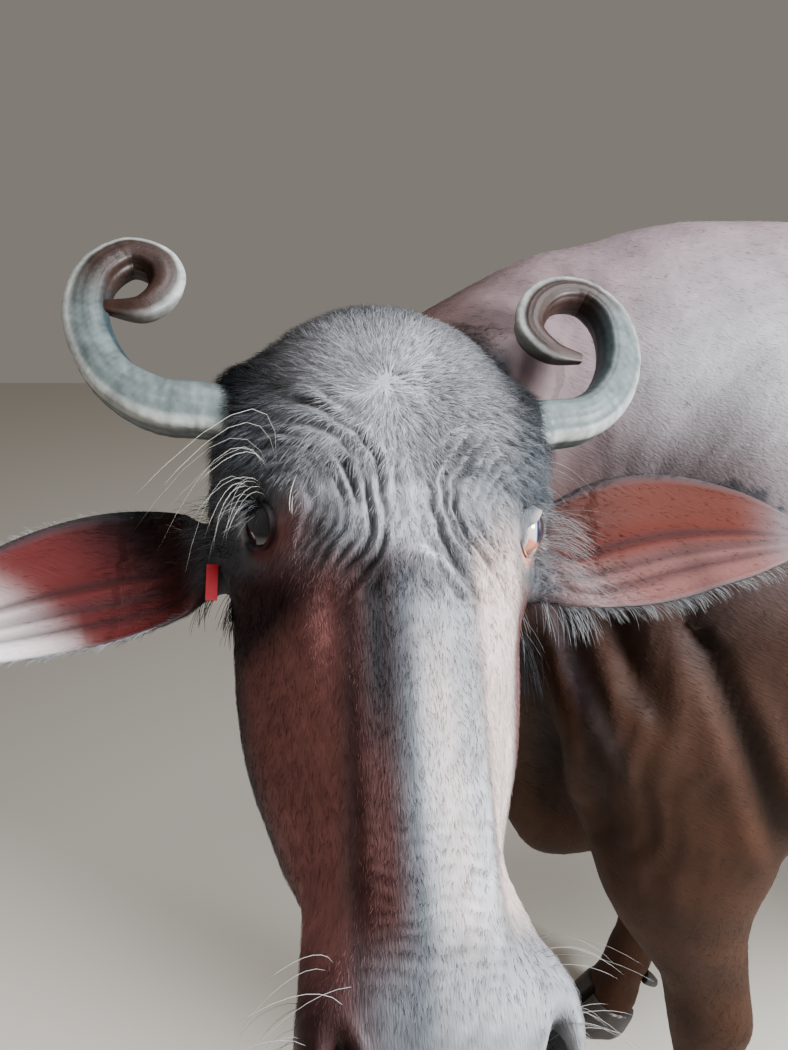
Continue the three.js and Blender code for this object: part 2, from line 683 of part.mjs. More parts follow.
// A closed skin over rings of points, with a fan at each end.
function loftSolid(rings) {
  const points = [];
  const triangles = [];
  const sides = rings[0].length;
  const middle = (ring) => ring.reduce((sum, p) => sum.add(p), new THREE.Vector3()).divideScalar(sides);
  for (const ring of rings) for (const p of ring) points.push(p.x, p.y, p.z);
  for (let r = 0; r < rings.length - 1; r++) {
    for (let i = 0; i < sides; i++) {
      const a = r * sides + i;
      const b = r * sides + ((i + 1) % sides);
      triangles.push(a, b, b + sides, a, b + sides, a + sides);
    }
  }
  const last = (rings.length - 1) * sides;
  const ends = [middle(rings[0]), middle(rings[rings.length - 1])];
  const first = points.length / 3;
  for (const p of ends) points.push(p.x, p.y, p.z);
  for (let i = 0; i < sides; i++) {
    triangles.push(first, (i + 1) % sides, i);
    triangles.push(first + 1, last + i, last + ((i + 1) % sides));
  }
  const volume = triangles.reduce((sum, _, i) => {
    if (i % 3) return sum;
    const [a, b, c] = [0, 1, 2].map((m) => new THREE.Vector3().fromArray(points, 3 * triangles[i + m]));
    return sum + a.dot(b.cross(c));
  }, 0);
  if (volume < 0) triangles.reverse();
  return solidOf({ points, triangles });
}

// Tapered round or flat strand along a curve. size(t) gives [half width, half thickness].
function strandRings(curve, count, sides, size, across) {
  const rings = [];
  for (let k = 0; k <= count; k++) {
    const t = k / count;
    const p = curve.getPoint(t);
    const tangent = curve.getTangent(t);
    const side = new THREE.Vector3().crossVectors(tangent, across).normalize();
    const up = new THREE.Vector3().crossVectors(side, tangent);
    const [half, thick] = size(t);
    const ring = [];
    for (let i = 0; i < sides; i++) {
      const turn = (i / sides) * 2 * Math.PI;
      const place = p.clone().addScaledVector(side, half * Math.cos(turn));
      ring.push(place.addScaledVector(up, thick * Math.sin(turn)));
    }
    rings.push(ring);
  }
  return rings;
}

// A box whose local z is a direction: a thin one parts two nodes, and a deep one trims a solid.
function boxAt(centre, normal, width, height, depth, upright = UP) {
  const z = normal.clone().normalize();
  const x = new THREE.Vector3().crossVectors(upright, z).normalize();
  const y = new THREE.Vector3().crossVectors(z, x);
  const matrix = new THREE.Matrix4().makeBasis(x, y, z).setPosition(centre);
  return solidOfGeometry(new THREE.BoxGeometry(width, height, depth), matrix);
}

const ROOM = 4000;

function keepSide(solid, point, normal, gap = GAP / 2) {
  const centre = point.clone().addScaledVector(normal, -ROOM / 2 + gap);
  const upright = Math.abs(normal.z) > 0.9 ? FRONT : UP;
  return solid.subtract(boxAt(centre, normal, ROOM, ROOM, ROOM, upright));
}

function largest(solid) {
  return solid.decompose().reduce((most, piece) => (piece.volume() > most.volume() ? piece : most));
}

function middleOf(solid) {
  const box = solid.boundingBox();
  return new THREE.Vector3(
    (box.min[0] + box.max[0]) / 2,
    (box.min[1] + box.max[1]) / 2,
    (box.min[2] + box.max[2]) / 2,
  );
}

function fromHead(u, v, w) {
  return new THREE.Vector3(u, v, w).applyMatrix4(headToWorld);
}

function headDirection(u, v, w) {
  return new THREE.Vector3(u, v, w).transformDirection(headToWorld);
}

const flesh = new Map();

// Horns: tight curls in nearly one plane, flattened, with a ridge along the front of the outer edge.
// Each row: u, v and w of the middle line, half thickness in the curl's plane and half depth across it.
const HORN_ROWS = {
  left: [
    [92, -92, -18, 0.98, 1.05],
    [126, -101, -16, 0.93, 1.12],
    [162, -109, -15, 0.86, 1.12],
    [190, -134, -14, 0.8, 1.08],
    [208, -174, -14, 0.76, 1.0],
    [210, -217, -15, 0.7, 0.92],
    [193, -243, -16, 0.64, 0.84],
    [166, -244, -16, 0.66, 0.8],
    [143, -226, -15, 0.66, 0.76],
    [133, -198, -14, 0.6, 0.68],
    [147, -176, -12, 0.48, 0.54],
    [173, -170, -11, 0.24, 0.26],
  ],
  right: [
    [92, -90, -18, 0.98, 1.05],
    [133, -94, -16, 0.95, 1.12],
    [164, -95, -15, 0.9, 1.12],
    [194, -112, -14, 0.82, 1.04],
    [212, -141, -14, 0.76, 0.94],
    [221, -176, -15, 0.72, 0.88],
    [216, -213, -16, 0.68, 0.84],
    [196, -235, -16, 0.64, 0.8],
    [173, -228, -15, 0.64, 0.76],
    [167, -205, -14, 0.62, 0.7],
    [182, -182, -12, 0.5, 0.56],
    [210, -180, -11, 0.26, 0.28],
  ],
};
const HORN_SIDES = 10;
const HORN_RINGS = 27;

function hornSolid(rows, side, grow = 0) {
  const rings = [];
  const last = rows.length - 1;
  for (let k = 0; k <= HORN_RINGS; k++) {
    const at = (k / HORN_RINGS) * last;
    const row = [0, 1, 2, 3, 4].map((c) => smoothRow(rows, at, c));
    const next = [0, 1, 2].map((c) => smoothRow(rows, Math.min(at + 0.02, last), c));
    const before = [0, 1, 2].map((c) => smoothRow(rows, Math.max(at - 0.02, 0), c));
    const tangent = new THREE.Vector3(...next).sub(new THREE.Vector3(...before)).normalize();
    const outer = new THREE.Vector3(0, 0, 1).cross(tangent).normalize();
    const front = new THREE.Vector3().crossVectors(tangent, outer);
    const ring = [];
    for (let i = 0; i < HORN_SIDES; i++) {
      const turn = (i / HORN_SIDES) * 2 * Math.PI;
      const fromRidge = Math.atan2(Math.sin(turn - 0.8), Math.cos(turn - 0.8));
      const groove = 0.08 * Math.exp(-(((fromRidge - 1.1) / 0.6) ** 2));
      const ridge = 1 + 0.2 * Math.exp(-((fromRidge / 0.42) ** 2)) - groove;
      const p = new THREE.Vector3(row[0], row[1], row[2])
        .addScaledVector(outer, Math.cos(turn) * (HORN_HALF * row[3] * ridge + grow))
        .addScaledVector(front, Math.sin(turn) * (HORN_HALF * row[4] * ridge + grow));
      ring.push(fromHead(side * p.x, p.y, p.z));
    }
    rings.push(ring);
  }
  return loftSolid(rings);
}

// Ears: a long cup, open to the front, with lengthwise ridges inside and a rounded rim.
// Each row of the middle line: u, v, w, then half width and depth of the cup.
const EAR_ROWS = {
  left: [
    [92, 4, -72, 24, 20],
    [122, 0, -66, 34, 26],
    [160, -12, -62, 50, 28],
    [205, -24, -58, 60, 25],
    [258, -34, -54, 59, 21],
    [312, -34, -50, 46, 14],
    [352, -28, -46, 26, 8],
    [378, -20, -43, 5, 4],
  ],
  right: [
    [92, -4, -72, 24, 20],
    [122, -4, -68, 34, 26],
    [156, 1, -68, 47, 28],
    [196, 11, -69, 54, 25],
    [240, 25, -71, 51, 20],
    [283, 42, -74, 39, 13],
    [312, 54, -76, 22, 8],
    [330, 62, -77, 5, 4],
  ],
};
const EAR_ACROSS = 8;
const EAR_RINGS = 12;
const EAR_SHELL = 7;
const EAR_OPENS_AT = 0.16;

function earSolid(rows, side, socket = false) {
  const grow = socket ? 2 * GAP : 0;
  const rings = [];
  const last = rows.length - 1;
  for (let k = 0; k <= (socket ? EAR_RINGS / 3 : EAR_RINGS); k++) {
    const along = k / EAR_RINGS;
    const at = along * last;
    const row = [0, 1, 2, 3, 4].map((c) => smoothRow(rows, at, c));
    const next = [0, 1, 2].map((c) => smoothRow(rows, Math.min(at + 0.05, last), c));
    const before = [0, 1, 2].map((c) => smoothRow(rows, Math.max(at - 0.05, 0), c));
    const tangent = new THREE.Vector3(...next).sub(new THREE.Vector3(...before)).normalize();
    const across = new THREE.Vector3().crossVectors(tangent, new THREE.Vector3(0.12, -0.1, 1)).normalize();
    const open = new THREE.Vector3().crossVectors(across, tangent);
    const middle = new THREE.Vector3(row[0] - grow, row[1], row[2]);
    const cup = socket ? 0 : THREE.MathUtils.smoothstep(along, EAR_OPENS_AT, EAR_OPENS_AT + 0.16);
    const shell = EAR_SHELL * (1 - 0.55 * along);
    const half = row[3] + grow;
    const ring = [];
    const put = (t, depth) => {
      const p = middle.clone().addScaledVector(across, half * t).addScaledVector(open, depth);
      ring.push(fromHead(side * p.x, p.y, p.z));
    };
    for (let i = 0; i <= EAR_ACROSS; i++) {
      const t = -1 + (2 * i) / EAR_ACROSS;
      put(t, -(row[4] + grow) * Math.sqrt(Math.max(1 - t * t, 0)) - shell * 0.4);
    }
    for (let i = EAR_ACROSS - 1; i > 0; i--) {
      const t = -1 + (2 * i) / EAR_ACROSS;
      const bowl = Math.sqrt(Math.max(1 - t * t, 0));
      const ridges = 2.4 * cup * Math.cos(3 * Math.PI * t) * (1 - along);
      const inside = -(row[4] - shell * 0.9) * bowl + ridges;
      const closed = (row[4] * 0.45 + grow) * bowl;
      put(t * 0.97, closed * (1 - cup) + inside * cup + shell * 0.15);
    }
    rings.push(ring);
  }
  return loftSolid(rings);
}

// Claws: two on each foot, wedge-shaped with a flat sole, and two dewclaws behind the fetlock.
const CLAW_HALF = 26;
const CLAW_APART = 28;
const CLAW_SIDES = 10;
const CORONET_LENGTH = 96;
const CORONET_SLOPE = new THREE.Vector3(CORONET_TOE - CORONET_HEEL, 0, CORONET_LENGTH).normalize();

function clawSolid(foot, side) {
  const rows = [
    [0, -34, 66, 42, 1],
    [6, -33, 66, 44, 1.02],
    [34, -24, 54, 46, 1.02],
    [60, -15, 43, 45, 0.97],
    [84, -8, 34, 40, 0.88],
  ];
  const rings = rows.map(([z, x, front, rear, wide]) => {
    const ring = [];
    for (let i = 0; i < CLAW_SIDES; i++) {
      const turn = (i / CLAW_SIDES) * 2 * Math.PI;
      const reach = Math.cos(turn) > 0 ? front : rear;
      const toe = Math.max(Math.cos(turn), 0) ** 2;
      const inner = Math.sin(turn) * side < 0 ? 0.94 : 1.06;
      const px = foot[0] + x - reach * Math.cos(turn);
      const py = foot[1] + side * (CLAW_APART - 7 * toe) + Math.sin(turn) * CLAW_HALF * wide * inner;
      ring.push(new THREE.Vector3(px, py, z));
    }
    return ring;
  });
  return loftSolid(rings);
}

function dewclawSolid(foot, side, back, grow = 0) {
  const place = new THREE.Vector3(foot[0] + back, foot[1] + side * 24, 122);
  const curve = new THREE.LineCurve3(place, place.clone().add(new THREE.Vector3(22, side * 4, -14)));
  const size = (t) => [15 * (1 - 0.45 * t * t) + grow, 12 * (1 - 0.45 * t * t) + grow];
  return loftSolid(strandRings(curve, 2, 8, size, UP));
}

// Flesh of the body and of the head, each from its own grid, parted by a plane behind the poll and the jaw.
const NECK_CUT = fromHead(0, -90, -137);
const NECK_AIM = headDirection(0, 0.66, 0.75);
const bodySurface = surfaceOf(animalField, [-140, -470, 30], [1640, 440, 1420], BODY_CELL);
const bodyShell = simplified(bodySurface, BODY_TRIANGLES);
const inHead = (u, v, w) => {
  probe.set(u, v, w).applyMatrix4(headToWorld);
  return animalField(probe.x, probe.y, probe.z);
};
const headSkin = surfaceOf(inHead, [-168, -250, -300], [168, 390, 84], HEAD_CELL);
const headShell = simplified(headSkin, HEAD_TRIANGLES);
const HEAD_ROOM = 360;
const beforeNeck = NECK_CUT.clone().addScaledVector(NECK_AIM, (HEAD_ROOM - GAP) / 2);
let body = solidOf(bodyShell).subtract(boxAt(beforeNeck, NECK_AIM, HEAD_ROOM, 2 * HEAD_ROOM, HEAD_ROOM));
const headSurface = new THREE.BufferGeometry();
headSurface.setAttribute("position", new THREE.Float32BufferAttribute(headShell.points, 3));
headSurface.setIndex(headShell.triangles);
let head = keepSide(solidOfGeometry(headSurface, headToWorld), NECK_CUT, NECK_AIM);

// Head: eyes behind lids, horns and ears in close sockets, nostrils and the line of the mouth.
for (const [name, s] of [["left", 1], ["right", -1]]) {
  head = head.subtract(hornSolid(HORN_ROWS[name], s, GAP)).subtract(earSolid(EAR_ROWS[name], s, true));
  flesh.set("horn_" + name, hornSolid(HORN_ROWS[name], s));
  flesh.set("ear_" + name, earSolid(EAR_ROWS[name], s));
  const eye = fromHead(s * EYE_PLACE.u, EYE_PLACE.v, EYE_PLACE.w);
  const aim = headDirection(s * EYE_AIM.u, EYE_AIM.v, EYE_AIM.w);
  const ball = (radius) =>
    solidOfGeometry(new THREE.SphereGeometry(radius, 16, 10), new THREE.Matrix4().makeTranslation(eye));
  const slit = headDirection(s * -0.4, 0.8, 0.4);
  slit.addScaledVector(aim, -slit.dot(aim)).normalize();
  const across = new THREE.Vector3().crossVectors(aim, slit);
  const outline = (depth, spread) => {
    const ring = [];
    for (let i = 0; i < 16; i++) {
      const turn = (i / 16) * 2 * Math.PI;
      const high = 10.5 * spread * Math.sin(turn) * Math.sqrt(Math.abs(Math.sin(turn)));
      const place = eye.clone().addScaledVector(aim, depth).addScaledVector(across, high);
      ring.push(place.addScaledVector(slit, 18 * spread * Math.cos(turn)));
    }
    return ring;
  };
  head = head.subtract(loftSolid([outline(8, 0.9), outline(20, 1), outline(60, 1.9)]));
  head = head.subtract(ball(EYE_RADIUS + GAP));
  flesh.set("eye_" + name, ball(EYE_RADIUS));
  const nostril = new THREE.Matrix4().makeBasis(
    headDirection(0.92 * s, 0.3, 0.2),
    headDirection(-0.3 * s, 0.85, 0.45),
    headDirection(0, -0.45, 0.9),
  );
  nostril.setPosition(fromHead(7 + s * 54, 322, -20));
  nostril.scale(new THREE.Vector3(11, 22, 17));
  head = head.subtract(solidOfGeometry(new THREE.SphereGeometry(1, 12, 8), nostril));
}
const MOUTH = { depth: -84, corner: 236, front: 400, thick: 1.8, half: 100, kept: 34, lip: 338 };
const lipLine = new THREE.Shape();
lipLine.moveTo(-MOUTH.half, MOUTH.corner);
lipLine.lineTo(-MOUTH.half, MOUTH.front);
lipLine.lineTo(MOUTH.half, MOUTH.front);
lipLine.lineTo(MOUTH.half, MOUTH.corner);
lipLine.lineTo(MOUTH.kept, MOUTH.corner + 18);
lipLine.lineTo(MOUTH.kept + 6, MOUTH.lip - 30);
lipLine.quadraticCurveTo(MOUTH.kept, MOUTH.lip, 0, MOUTH.lip);
lipLine.quadraticCurveTo(-MOUTH.kept, MOUTH.lip, -MOUTH.kept - 6, MOUTH.lip - 30);
lipLine.lineTo(-MOUTH.kept, MOUTH.corner + 18);
lipLine.closePath();
const lipPlace = headToWorld.clone().multiply(new THREE.Matrix4().makeTranslation(0, 0, MOUTH.depth));
const lipDepth = { depth: MOUTH.thick, bevelEnabled: false, curveSegments: 6 };
const lipCut = new THREE.ExtrudeGeometry(lipLine, lipDepth);
head = head.subtract(solidOfGeometry(lipCut, lipPlace));
flesh.set("head", largest(head));

// Body: thin cuts part the neck, the legs and the udder from the trunk.
const NECK_BASE = new THREE.Vector3(238, 0, 1090);
const NECK_BASE_AIM = new THREE.Vector3(-0.94, 0, 0.34);
const HIND_CUT = new THREE.Vector3(1240, 0, 672);
const HIND_AIM = new THREE.Vector3(-0.55, 0, 0.83);
const UDDER_HALF = 106;
const KNEE_CUT = 392;
const HOCK_CUT = 545;
body = body.subtract(boxAt(NECK_BASE, NECK_BASE_AIM, 1200, 1400, GAP, FRONT.clone().setY(0)));
body = body.subtract(boxAt(HIND_CUT, HIND_AIM, 900, 700, GAP, new THREE.Vector3(0, 1, 0)));
for (const s of [-1, 1]) {
  const wall = HIND_CUT.clone().addScaledVector(HIND_AIM, -120).setY(s * UDDER_HALF);
  body = body.subtract(boxAt(wall, new THREE.Vector3(0, 1, 0), 900, 240, GAP, HIND_AIM));
}
body = body.subtract(boxAt(new THREE.Vector3(462, 0, 566), UP, 800, 400, GAP, FRONT));
for (const leg of legs) {
  const height = leg.fore ? KNEE_CUT : HOCK_CUT;
  body = body.subtract(boxAt(new THREE.Vector3(leg.foot[0], leg.foot[1], height), UP, 220, 260, GAP, FRONT));
}

// Tail: a tapering round dock and cord, its root in a socket of the rump, and a brush of long hair.
const tailCurve = new THREE.CatmullRomCurve3([
  TAIL_ROOT.clone().add(new THREE.Vector3(-52, 0, 4)),
  TAIL_ROOT,
  TAIL_ROOT.clone().add(new THREE.Vector3(64, 0, -30)),
  TAIL_ROOT.clone().add(new THREE.Vector3(108, 2, -110)),
  TAIL_ROOT.clone().add(new THREE.Vector3(118, 4, -270)),
  TAIL_ROOT.clone().add(new THREE.Vector3(108, 2, -470)),
  TAIL_ROOT.clone().add(new THREE.Vector3(100, -4, -660)),
]);
const tailSize = (t) => [38 - 26 * t ** 0.8, 34 - 22 * t ** 0.8];
const tailSolid = (grow) =>
  loftSolid(strandRings(tailCurve, 18, 8, (t) => tailSize(t).map((half) => half + grow), SIDEWAYS));
body = body.subtract(tailSolid(GAP));
flesh.set("tail", tailSolid(0));

// The brush is a short core with long flat locks that bend, overlap and hang from it.
const TAIL_END = TAIL_ROOT.clone().add(new THREE.Vector3(100, -4, -660));
let seed = 41;
function draw() {
  seed = (seed * 16807) % 2147483647;
  return seed / 2147483647;
}
function lockSolid(root, lean, length, half) {
  const curve = new THREE.CatmullRomCurve3([
    root,
    root.clone().add(new THREE.Vector3(lean.x * 0.7, lean.y * 0.7, -length * 0.3)),
    root.clone().add(new THREE.Vector3(lean.x * 1.15, lean.y * 1.15, -length * 0.68)),
    root.clone().add(new THREE.Vector3(lean.x * 0.8, lean.y * 0.8, -length)),
  ]);
  const facing = new THREE.Vector3(lean.x, lean.y, 0).normalize();
  const size = (t) => [half * (1 - t) ** 0.7 * (0.75 + 0.6 * t) + 0.6, half * 0.34 * (1 - t) + 0.5];
  return loftSolid(strandRings(curve, 4, 4, size, facing));
}
const coreCurve = new THREE.LineCurve3(
  TAIL_END.clone().add(new THREE.Vector3(0, 0, 46)),
  TAIL_END.clone().add(new THREE.Vector3(-4, -2, -92)),
);
let brush = loftSolid(strandRings(coreCurve, 5, 10, (t) => [19 - 11 * t, 18 - 11 * t], SIDEWAYS));
const LOCKS = 11;
for (let i = 0; i < LOCKS; i++) {
  const turn = (i / LOCKS) * 2 * Math.PI * 2.4;
  const down = (i / LOCKS) * 96;
  const out = new THREE.Vector3(Math.cos(turn), Math.sin(turn), 0);
  const root = TAIL_END.clone().addScaledVector(out, 5).add(new THREE.Vector3(0, 0, 22 - down));
  const lean = out.multiplyScalar(15 + 9 * draw());
  brush = brush.add(lockSolid(root, lean, 178 + 70 * draw() - down * 0.35, 13 + 3 * draw()));
}
flesh.set("tail_switch", largest(brush.subtract(tailSolid(GAP))));

// Each piece of the body takes the name whose middle lies nearest.
const MIDDLES = {
  torso: [823, 0, 970],
  neck: [112, -24, 1026],
  udder: [1250, 0, 640],
};
for (const leg of legs) {
  const [x, y] = leg.foot;
  MIDDLES[leg.name + "_upper"] = leg.fore ? [x - 20, y, 480] : [x - 20, y, 680];
  MIDDLES[leg.name + "_lower"] = [x, y, 220];
}
const pieces = body.decompose();
for (const [name, middle] of Object.entries(MIDDLES)) {
  const at = new THREE.Vector3(...middle);
  const far = (piece) => middleOf(piece).distanceTo(at) - Math.min(piece.volume() / 1e5, 10);
  flesh.set(name, pieces.reduce((best, piece) => (far(piece) < far(best) ? piece : best)));
}

// Feet: the shank ends in a sloping plane at the hair line, and the claws fit below it.
for (const leg of legs) {
  const coronet = new THREE.Vector3(leg.foot[0] - 9, leg.foot[1], (CORONET_TOE + CORONET_HEEL) / 2);
  const back = leg.fore ? 34 : 40;
  let shank = keepSide(flesh.get(leg.name + "_lower"), coronet, CORONET_SLOPE);
  for (const [where, s] of [["outer", leg.side], ["inner", -leg.side]]) {
    const claw = keepSide(clawSolid(leg.foot, s), coronet, CORONET_SLOPE.clone().negate());
    flesh.set(`claw_${leg.name}_${where}`, claw);
    flesh.set(`dewclaw_${leg.name}_${where}`, dewclawSolid(leg.foot, s, back));
    shank = shank.subtract(dewclawSolid(leg.foot, s, back, GAP));
  }
  flesh.set(leg.name + "_lower", largest(shank));
}

// A short red strip hangs below the root of the right ear.
const STRIP = { wide: 8, long: 27, thick: 1.6 };
const stripPlace = new THREE.Matrix4().makeBasis(HEAD.u, HEAD.v, HEAD.w.clone().negate());
stripPlace.setPosition(fromHead(-124, 22, -56));
const strip = solidOfGeometry(new THREE.BoxGeometry(STRIP.wide, STRIP.long, STRIP.thick), stripPlace);
const stripSocket = solidOfGeometry(
  new THREE.BoxGeometry(STRIP.wide + 2 * GAP, STRIP.long + 2 * GAP, STRIP.thick + 2 * GAP),
  stripPlace,
);
flesh.set("ear_strip_red", strip);
for (const name of ["ear_right", "head"]) flesh.set(name, largest(flesh.get(name).subtract(stripSocket)));

// The finished animal: one named mesh for each part, moved so that the origin is below its middle.
const FINISHES = [
  [/^(head)$/, HEAD_HIDE],
  [/^ear_strip/, RED_STRIP],
  [/^ear_/, EAR_HIDE],
  [/^eye_/, EYE],
  [/^horn_/, HORN],
  [/^(claw|dewclaw)_/, CLAW],
  [/^tail_switch$/, HAIR],
  [/^udder$/, UDDER_SKIN],
  [/./, HIDE],
];
const buffalo = new THREE.Group();
const extent = new THREE.Box3();
for (const [name, solid] of flesh) {
  const mesh = solid.getMesh();
  const geometry = new THREE.BufferGeometry();
  const points = new Float32Array(mesh.numVert * 3);
  for (let i = 0; i < mesh.numVert; i++) {
    points.set(mesh.vertProperties.subarray(i * mesh.numProp, i * mesh.numProp + 3), i * 3);
  }
  geometry.setAttribute("position", new THREE.BufferAttribute(points, 3));
  geometry.setIndex(new THREE.BufferAttribute(new Uint32Array(mesh.triVerts), 1));
  geometry.computeVertexNormals();
  const finish = FINISHES.find(([pattern]) => pattern.test(name))[1];
  const part = new THREE.Mesh(geometry, new THREE.MeshStandardMaterial({ ...finish, flatShading: true }));
  part.name = name;
  buffalo.add(part);
  extent.expandByObject(part);
}
const centre = extent.getCenter(new THREE.Vector3());
for (const part of buffalo.children) part.geometry.translate(-centre.x, -centre.y, -extent.min.z);

export default buffalo;
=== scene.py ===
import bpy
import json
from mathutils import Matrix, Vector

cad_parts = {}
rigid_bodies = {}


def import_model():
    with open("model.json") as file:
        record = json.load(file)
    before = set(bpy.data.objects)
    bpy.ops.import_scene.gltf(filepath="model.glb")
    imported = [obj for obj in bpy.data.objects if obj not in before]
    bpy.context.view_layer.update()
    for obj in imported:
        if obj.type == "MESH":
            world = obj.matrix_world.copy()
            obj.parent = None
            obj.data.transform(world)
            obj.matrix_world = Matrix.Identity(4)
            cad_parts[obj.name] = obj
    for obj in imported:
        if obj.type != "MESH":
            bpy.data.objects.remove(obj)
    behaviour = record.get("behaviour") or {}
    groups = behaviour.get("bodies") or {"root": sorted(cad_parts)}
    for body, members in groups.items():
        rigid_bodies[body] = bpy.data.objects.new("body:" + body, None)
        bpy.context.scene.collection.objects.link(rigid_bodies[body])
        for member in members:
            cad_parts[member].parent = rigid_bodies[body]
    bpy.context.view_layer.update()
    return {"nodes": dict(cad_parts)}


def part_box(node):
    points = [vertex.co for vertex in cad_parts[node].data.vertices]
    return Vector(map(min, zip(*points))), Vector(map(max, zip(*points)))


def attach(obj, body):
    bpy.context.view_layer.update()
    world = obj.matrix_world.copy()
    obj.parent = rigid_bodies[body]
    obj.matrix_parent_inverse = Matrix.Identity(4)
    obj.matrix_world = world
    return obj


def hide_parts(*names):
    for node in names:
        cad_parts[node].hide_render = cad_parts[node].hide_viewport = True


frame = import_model()

import json
import math

import bmesh
import bpy
import numpy as np
from mathutils import Vector
from mathutils.bvhtree import BVHTree

# View and light: a pale floor, a window and a high lamp on the animal's left, and a weak, warm lamp on its
# right. The camera stands a little above and before the face.
# The head has its own axes, in millimetres: u to the animal's left, v down the face and w out of it.
FACE_PITCH = math.radians(42)
FACE_YAW = math.radians(5.7)
FACE_ROLL = math.radians(-8.4)
EYE_SEAT = (80.0, 3.0, -24.0)  # centre of a solid's eyeball
TO_CAMERA = Vector((-0.004, -0.507, 0.183))
TO_BODY = Vector((0.004, -0.393, 1.152))


def middle(node):
    low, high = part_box(node)
    return (Vector(low) + Vector(high)) / 2


def head_axes():
    turned = Vector((math.sin(FACE_YAW), -math.cos(FACE_YAW), 0))
    up = Vector((0, 0, 1))
    left = Vector((math.cos(FACE_YAW), math.sin(FACE_YAW), 0))
    down = turned * math.cos(FACE_PITCH) - up * math.sin(FACE_PITCH)
    out = turned * math.sin(FACE_PITCH) + up * math.cos(FACE_PITCH)
    across = left * math.cos(FACE_ROLL) + out * math.sin(FACE_ROLL)
    forward = out * math.cos(FACE_ROLL) - left * math.sin(FACE_ROLL)
    return across, down, forward


AXES = head_axes()
FACE = (middle("eye_left") + middle("eye_right")) / 2 - (AXES[1] * EYE_SEAT[1] + AXES[2] * EYE_SEAT[2]) / 1000
BODY = FACE - TO_BODY  # x from the forehead to the tail, y from the trunk's middle plane, z from the floor
TURN = np.array([list(axis) for axis in AXES])


def to_head(points):
    return (points - np.array(FACE)) @ TURN.T * 1000


def from_head(places):
    return np.array(FACE) + places @ TURN / 1000


def to_body(points):
    return (points - np.array(BODY)) * 1000


def mirrored(places, way):
    """Places or directions of the head on its left side, or on its right where way is -1."""
    return np.array(places) * np.array([way, 1, 1])


def new_material(name, colour=(0.8, 0.8, 0.8), roughness=0.5):
    """A material, its nodes and links, and its shader."""
    made = bpy.data.materials.new(name)
    made.use_nodes = True
    shader = made.node_tree.nodes["Principled BSDF"]
    shader.inputs["Base Color"].default_value = (*colour, 1)
    shader.inputs["Roughness"].default_value = roughness
    return made, made.node_tree.nodes, made.node_tree.links, shader


bpy.ops.object.camera_add(location=FACE + TO_CAMERA, rotation=(math.radians(70), 0, 0))
camera = bpy.context.object
camera.data.lens = 27.0
camera.data.sensor_width = 36.0
camera.data.clip_start = 0.02
bpy.context.scene.camera = camera

bpy.ops.mesh.primitive_plane_add(size=14, location=(0, 0, 0))
floor = bpy.context.object
floor.name = "floor"
floor.data.materials.append(new_material("floor_paint", (0.62, 0.58, 0.52), 0.8)[0])

world = bpy.data.worlds.new("studio")
bpy.context.scene.world = world
world.use_nodes = True
world.node_tree.nodes["Background"].inputs["Color"].default_value = (0.74, 0.68, 0.60, 1)
world.node_tree.nodes["Background"].inputs["Strength"].default_value = 0.3


def add_lamp(name, place, target, size, power, colour):
    bpy.ops.object.light_add(type="AREA", location=place)
    lamp = bpy.context.object
    lamp.name = name
    lamp.data.shape = "DISK"
    lamp.data.size = size
    lamp.data.energy = power
    lamp.data.color = colour
    lamp.rotation_mode = "QUATERNION"
    lamp.rotation_quaternion = (Vector(target) - Vector(place)).to_track_quat("-Z", "Y")
    return lamp


add_lamp("window", FACE + Vector((1.9, -0.75, 0.75)), FACE + Vector((0.1, 0, 0)), 0.8, 185, (0.95, 0.98, 1))
add_lamp("above", FACE + Vector((0.9, 0.1, 1.9)), FACE + Vector((0.6, 0.4, 0)), 1.3, 70, (0.93, 0.96, 1))
fill = add_lamp("fill", FACE + Vector((-1.9, -1.8, 0.9)), FACE, 1.8, 22, (1, 0.9, 0.84))
fill.visible_glossy = False

# Hide: one skin covers the head, ears, neck, trunk, legs, udder and tail, with no seam.
# It is wrapped on a smoothed copy of the flesh, which plugs close at the eyes, ears, horns, tail and
# claws. Its cells are finer on the neck and the head, and finest round the eyes and the muzzle.
SIDES = (("left", 1), ("right", -1))
LEGS = [leg + side for leg in ("foreleg_", "hindleg_") for side, way in SIDES]
FLESH = ["head", "neck", "torso", "udder"] + [leg + part for leg in LEGS for part in ("_upper", "_lower")]
SHAPE_CELL = 0.006
SKIN_CELL = 0.0165
PLUG_REACH = 0.108  # from the face's middle plane into the roots of ears and horns
TOE_DEPTH = 0.03  # how far the skin runs down into a claw


def rows_of(items, name, width, kind=float):
    found = np.empty(len(items) * width, dtype=kind)
    items.foreach_get(name, found)
    return found.reshape(-1, width)


def points_of(thing):
    return rows_of(thing.data.vertices, "co", 3)


def normals_of(thing):
    return rows_of(thing.data.vertices, "normal", 3)


def pairs_of(thing):
    return rows_of(thing.data.edges, "vertices", 2, np.int64)


def move_points(thing, points):
    thing.data.vertices.foreach_set("co", points.ravel())
    thing.data.update()


def select(*things):
    """Selects these things alone, the first as the active one."""
    bpy.ops.object.select_all(action="DESELECT")
    for thing in things:
        thing.select_set(True)
    bpy.context.view_layer.objects.active = things[0]


def apply_all(thing):
    select(thing)
    for modifier in list(thing.modifiers):
        bpy.ops.object.modifier_apply(modifier=modifier.name)


def edit(thing, step, **options):
    """Takes one step of edit mode on the whole of a thing."""
    select(thing)
    bpy.ops.object.mode_set(mode="EDIT")
    bpy.ops.mesh.select_all(action="SELECT")
    step(**options)
    bpy.ops.object.mode_set(mode="OBJECT")


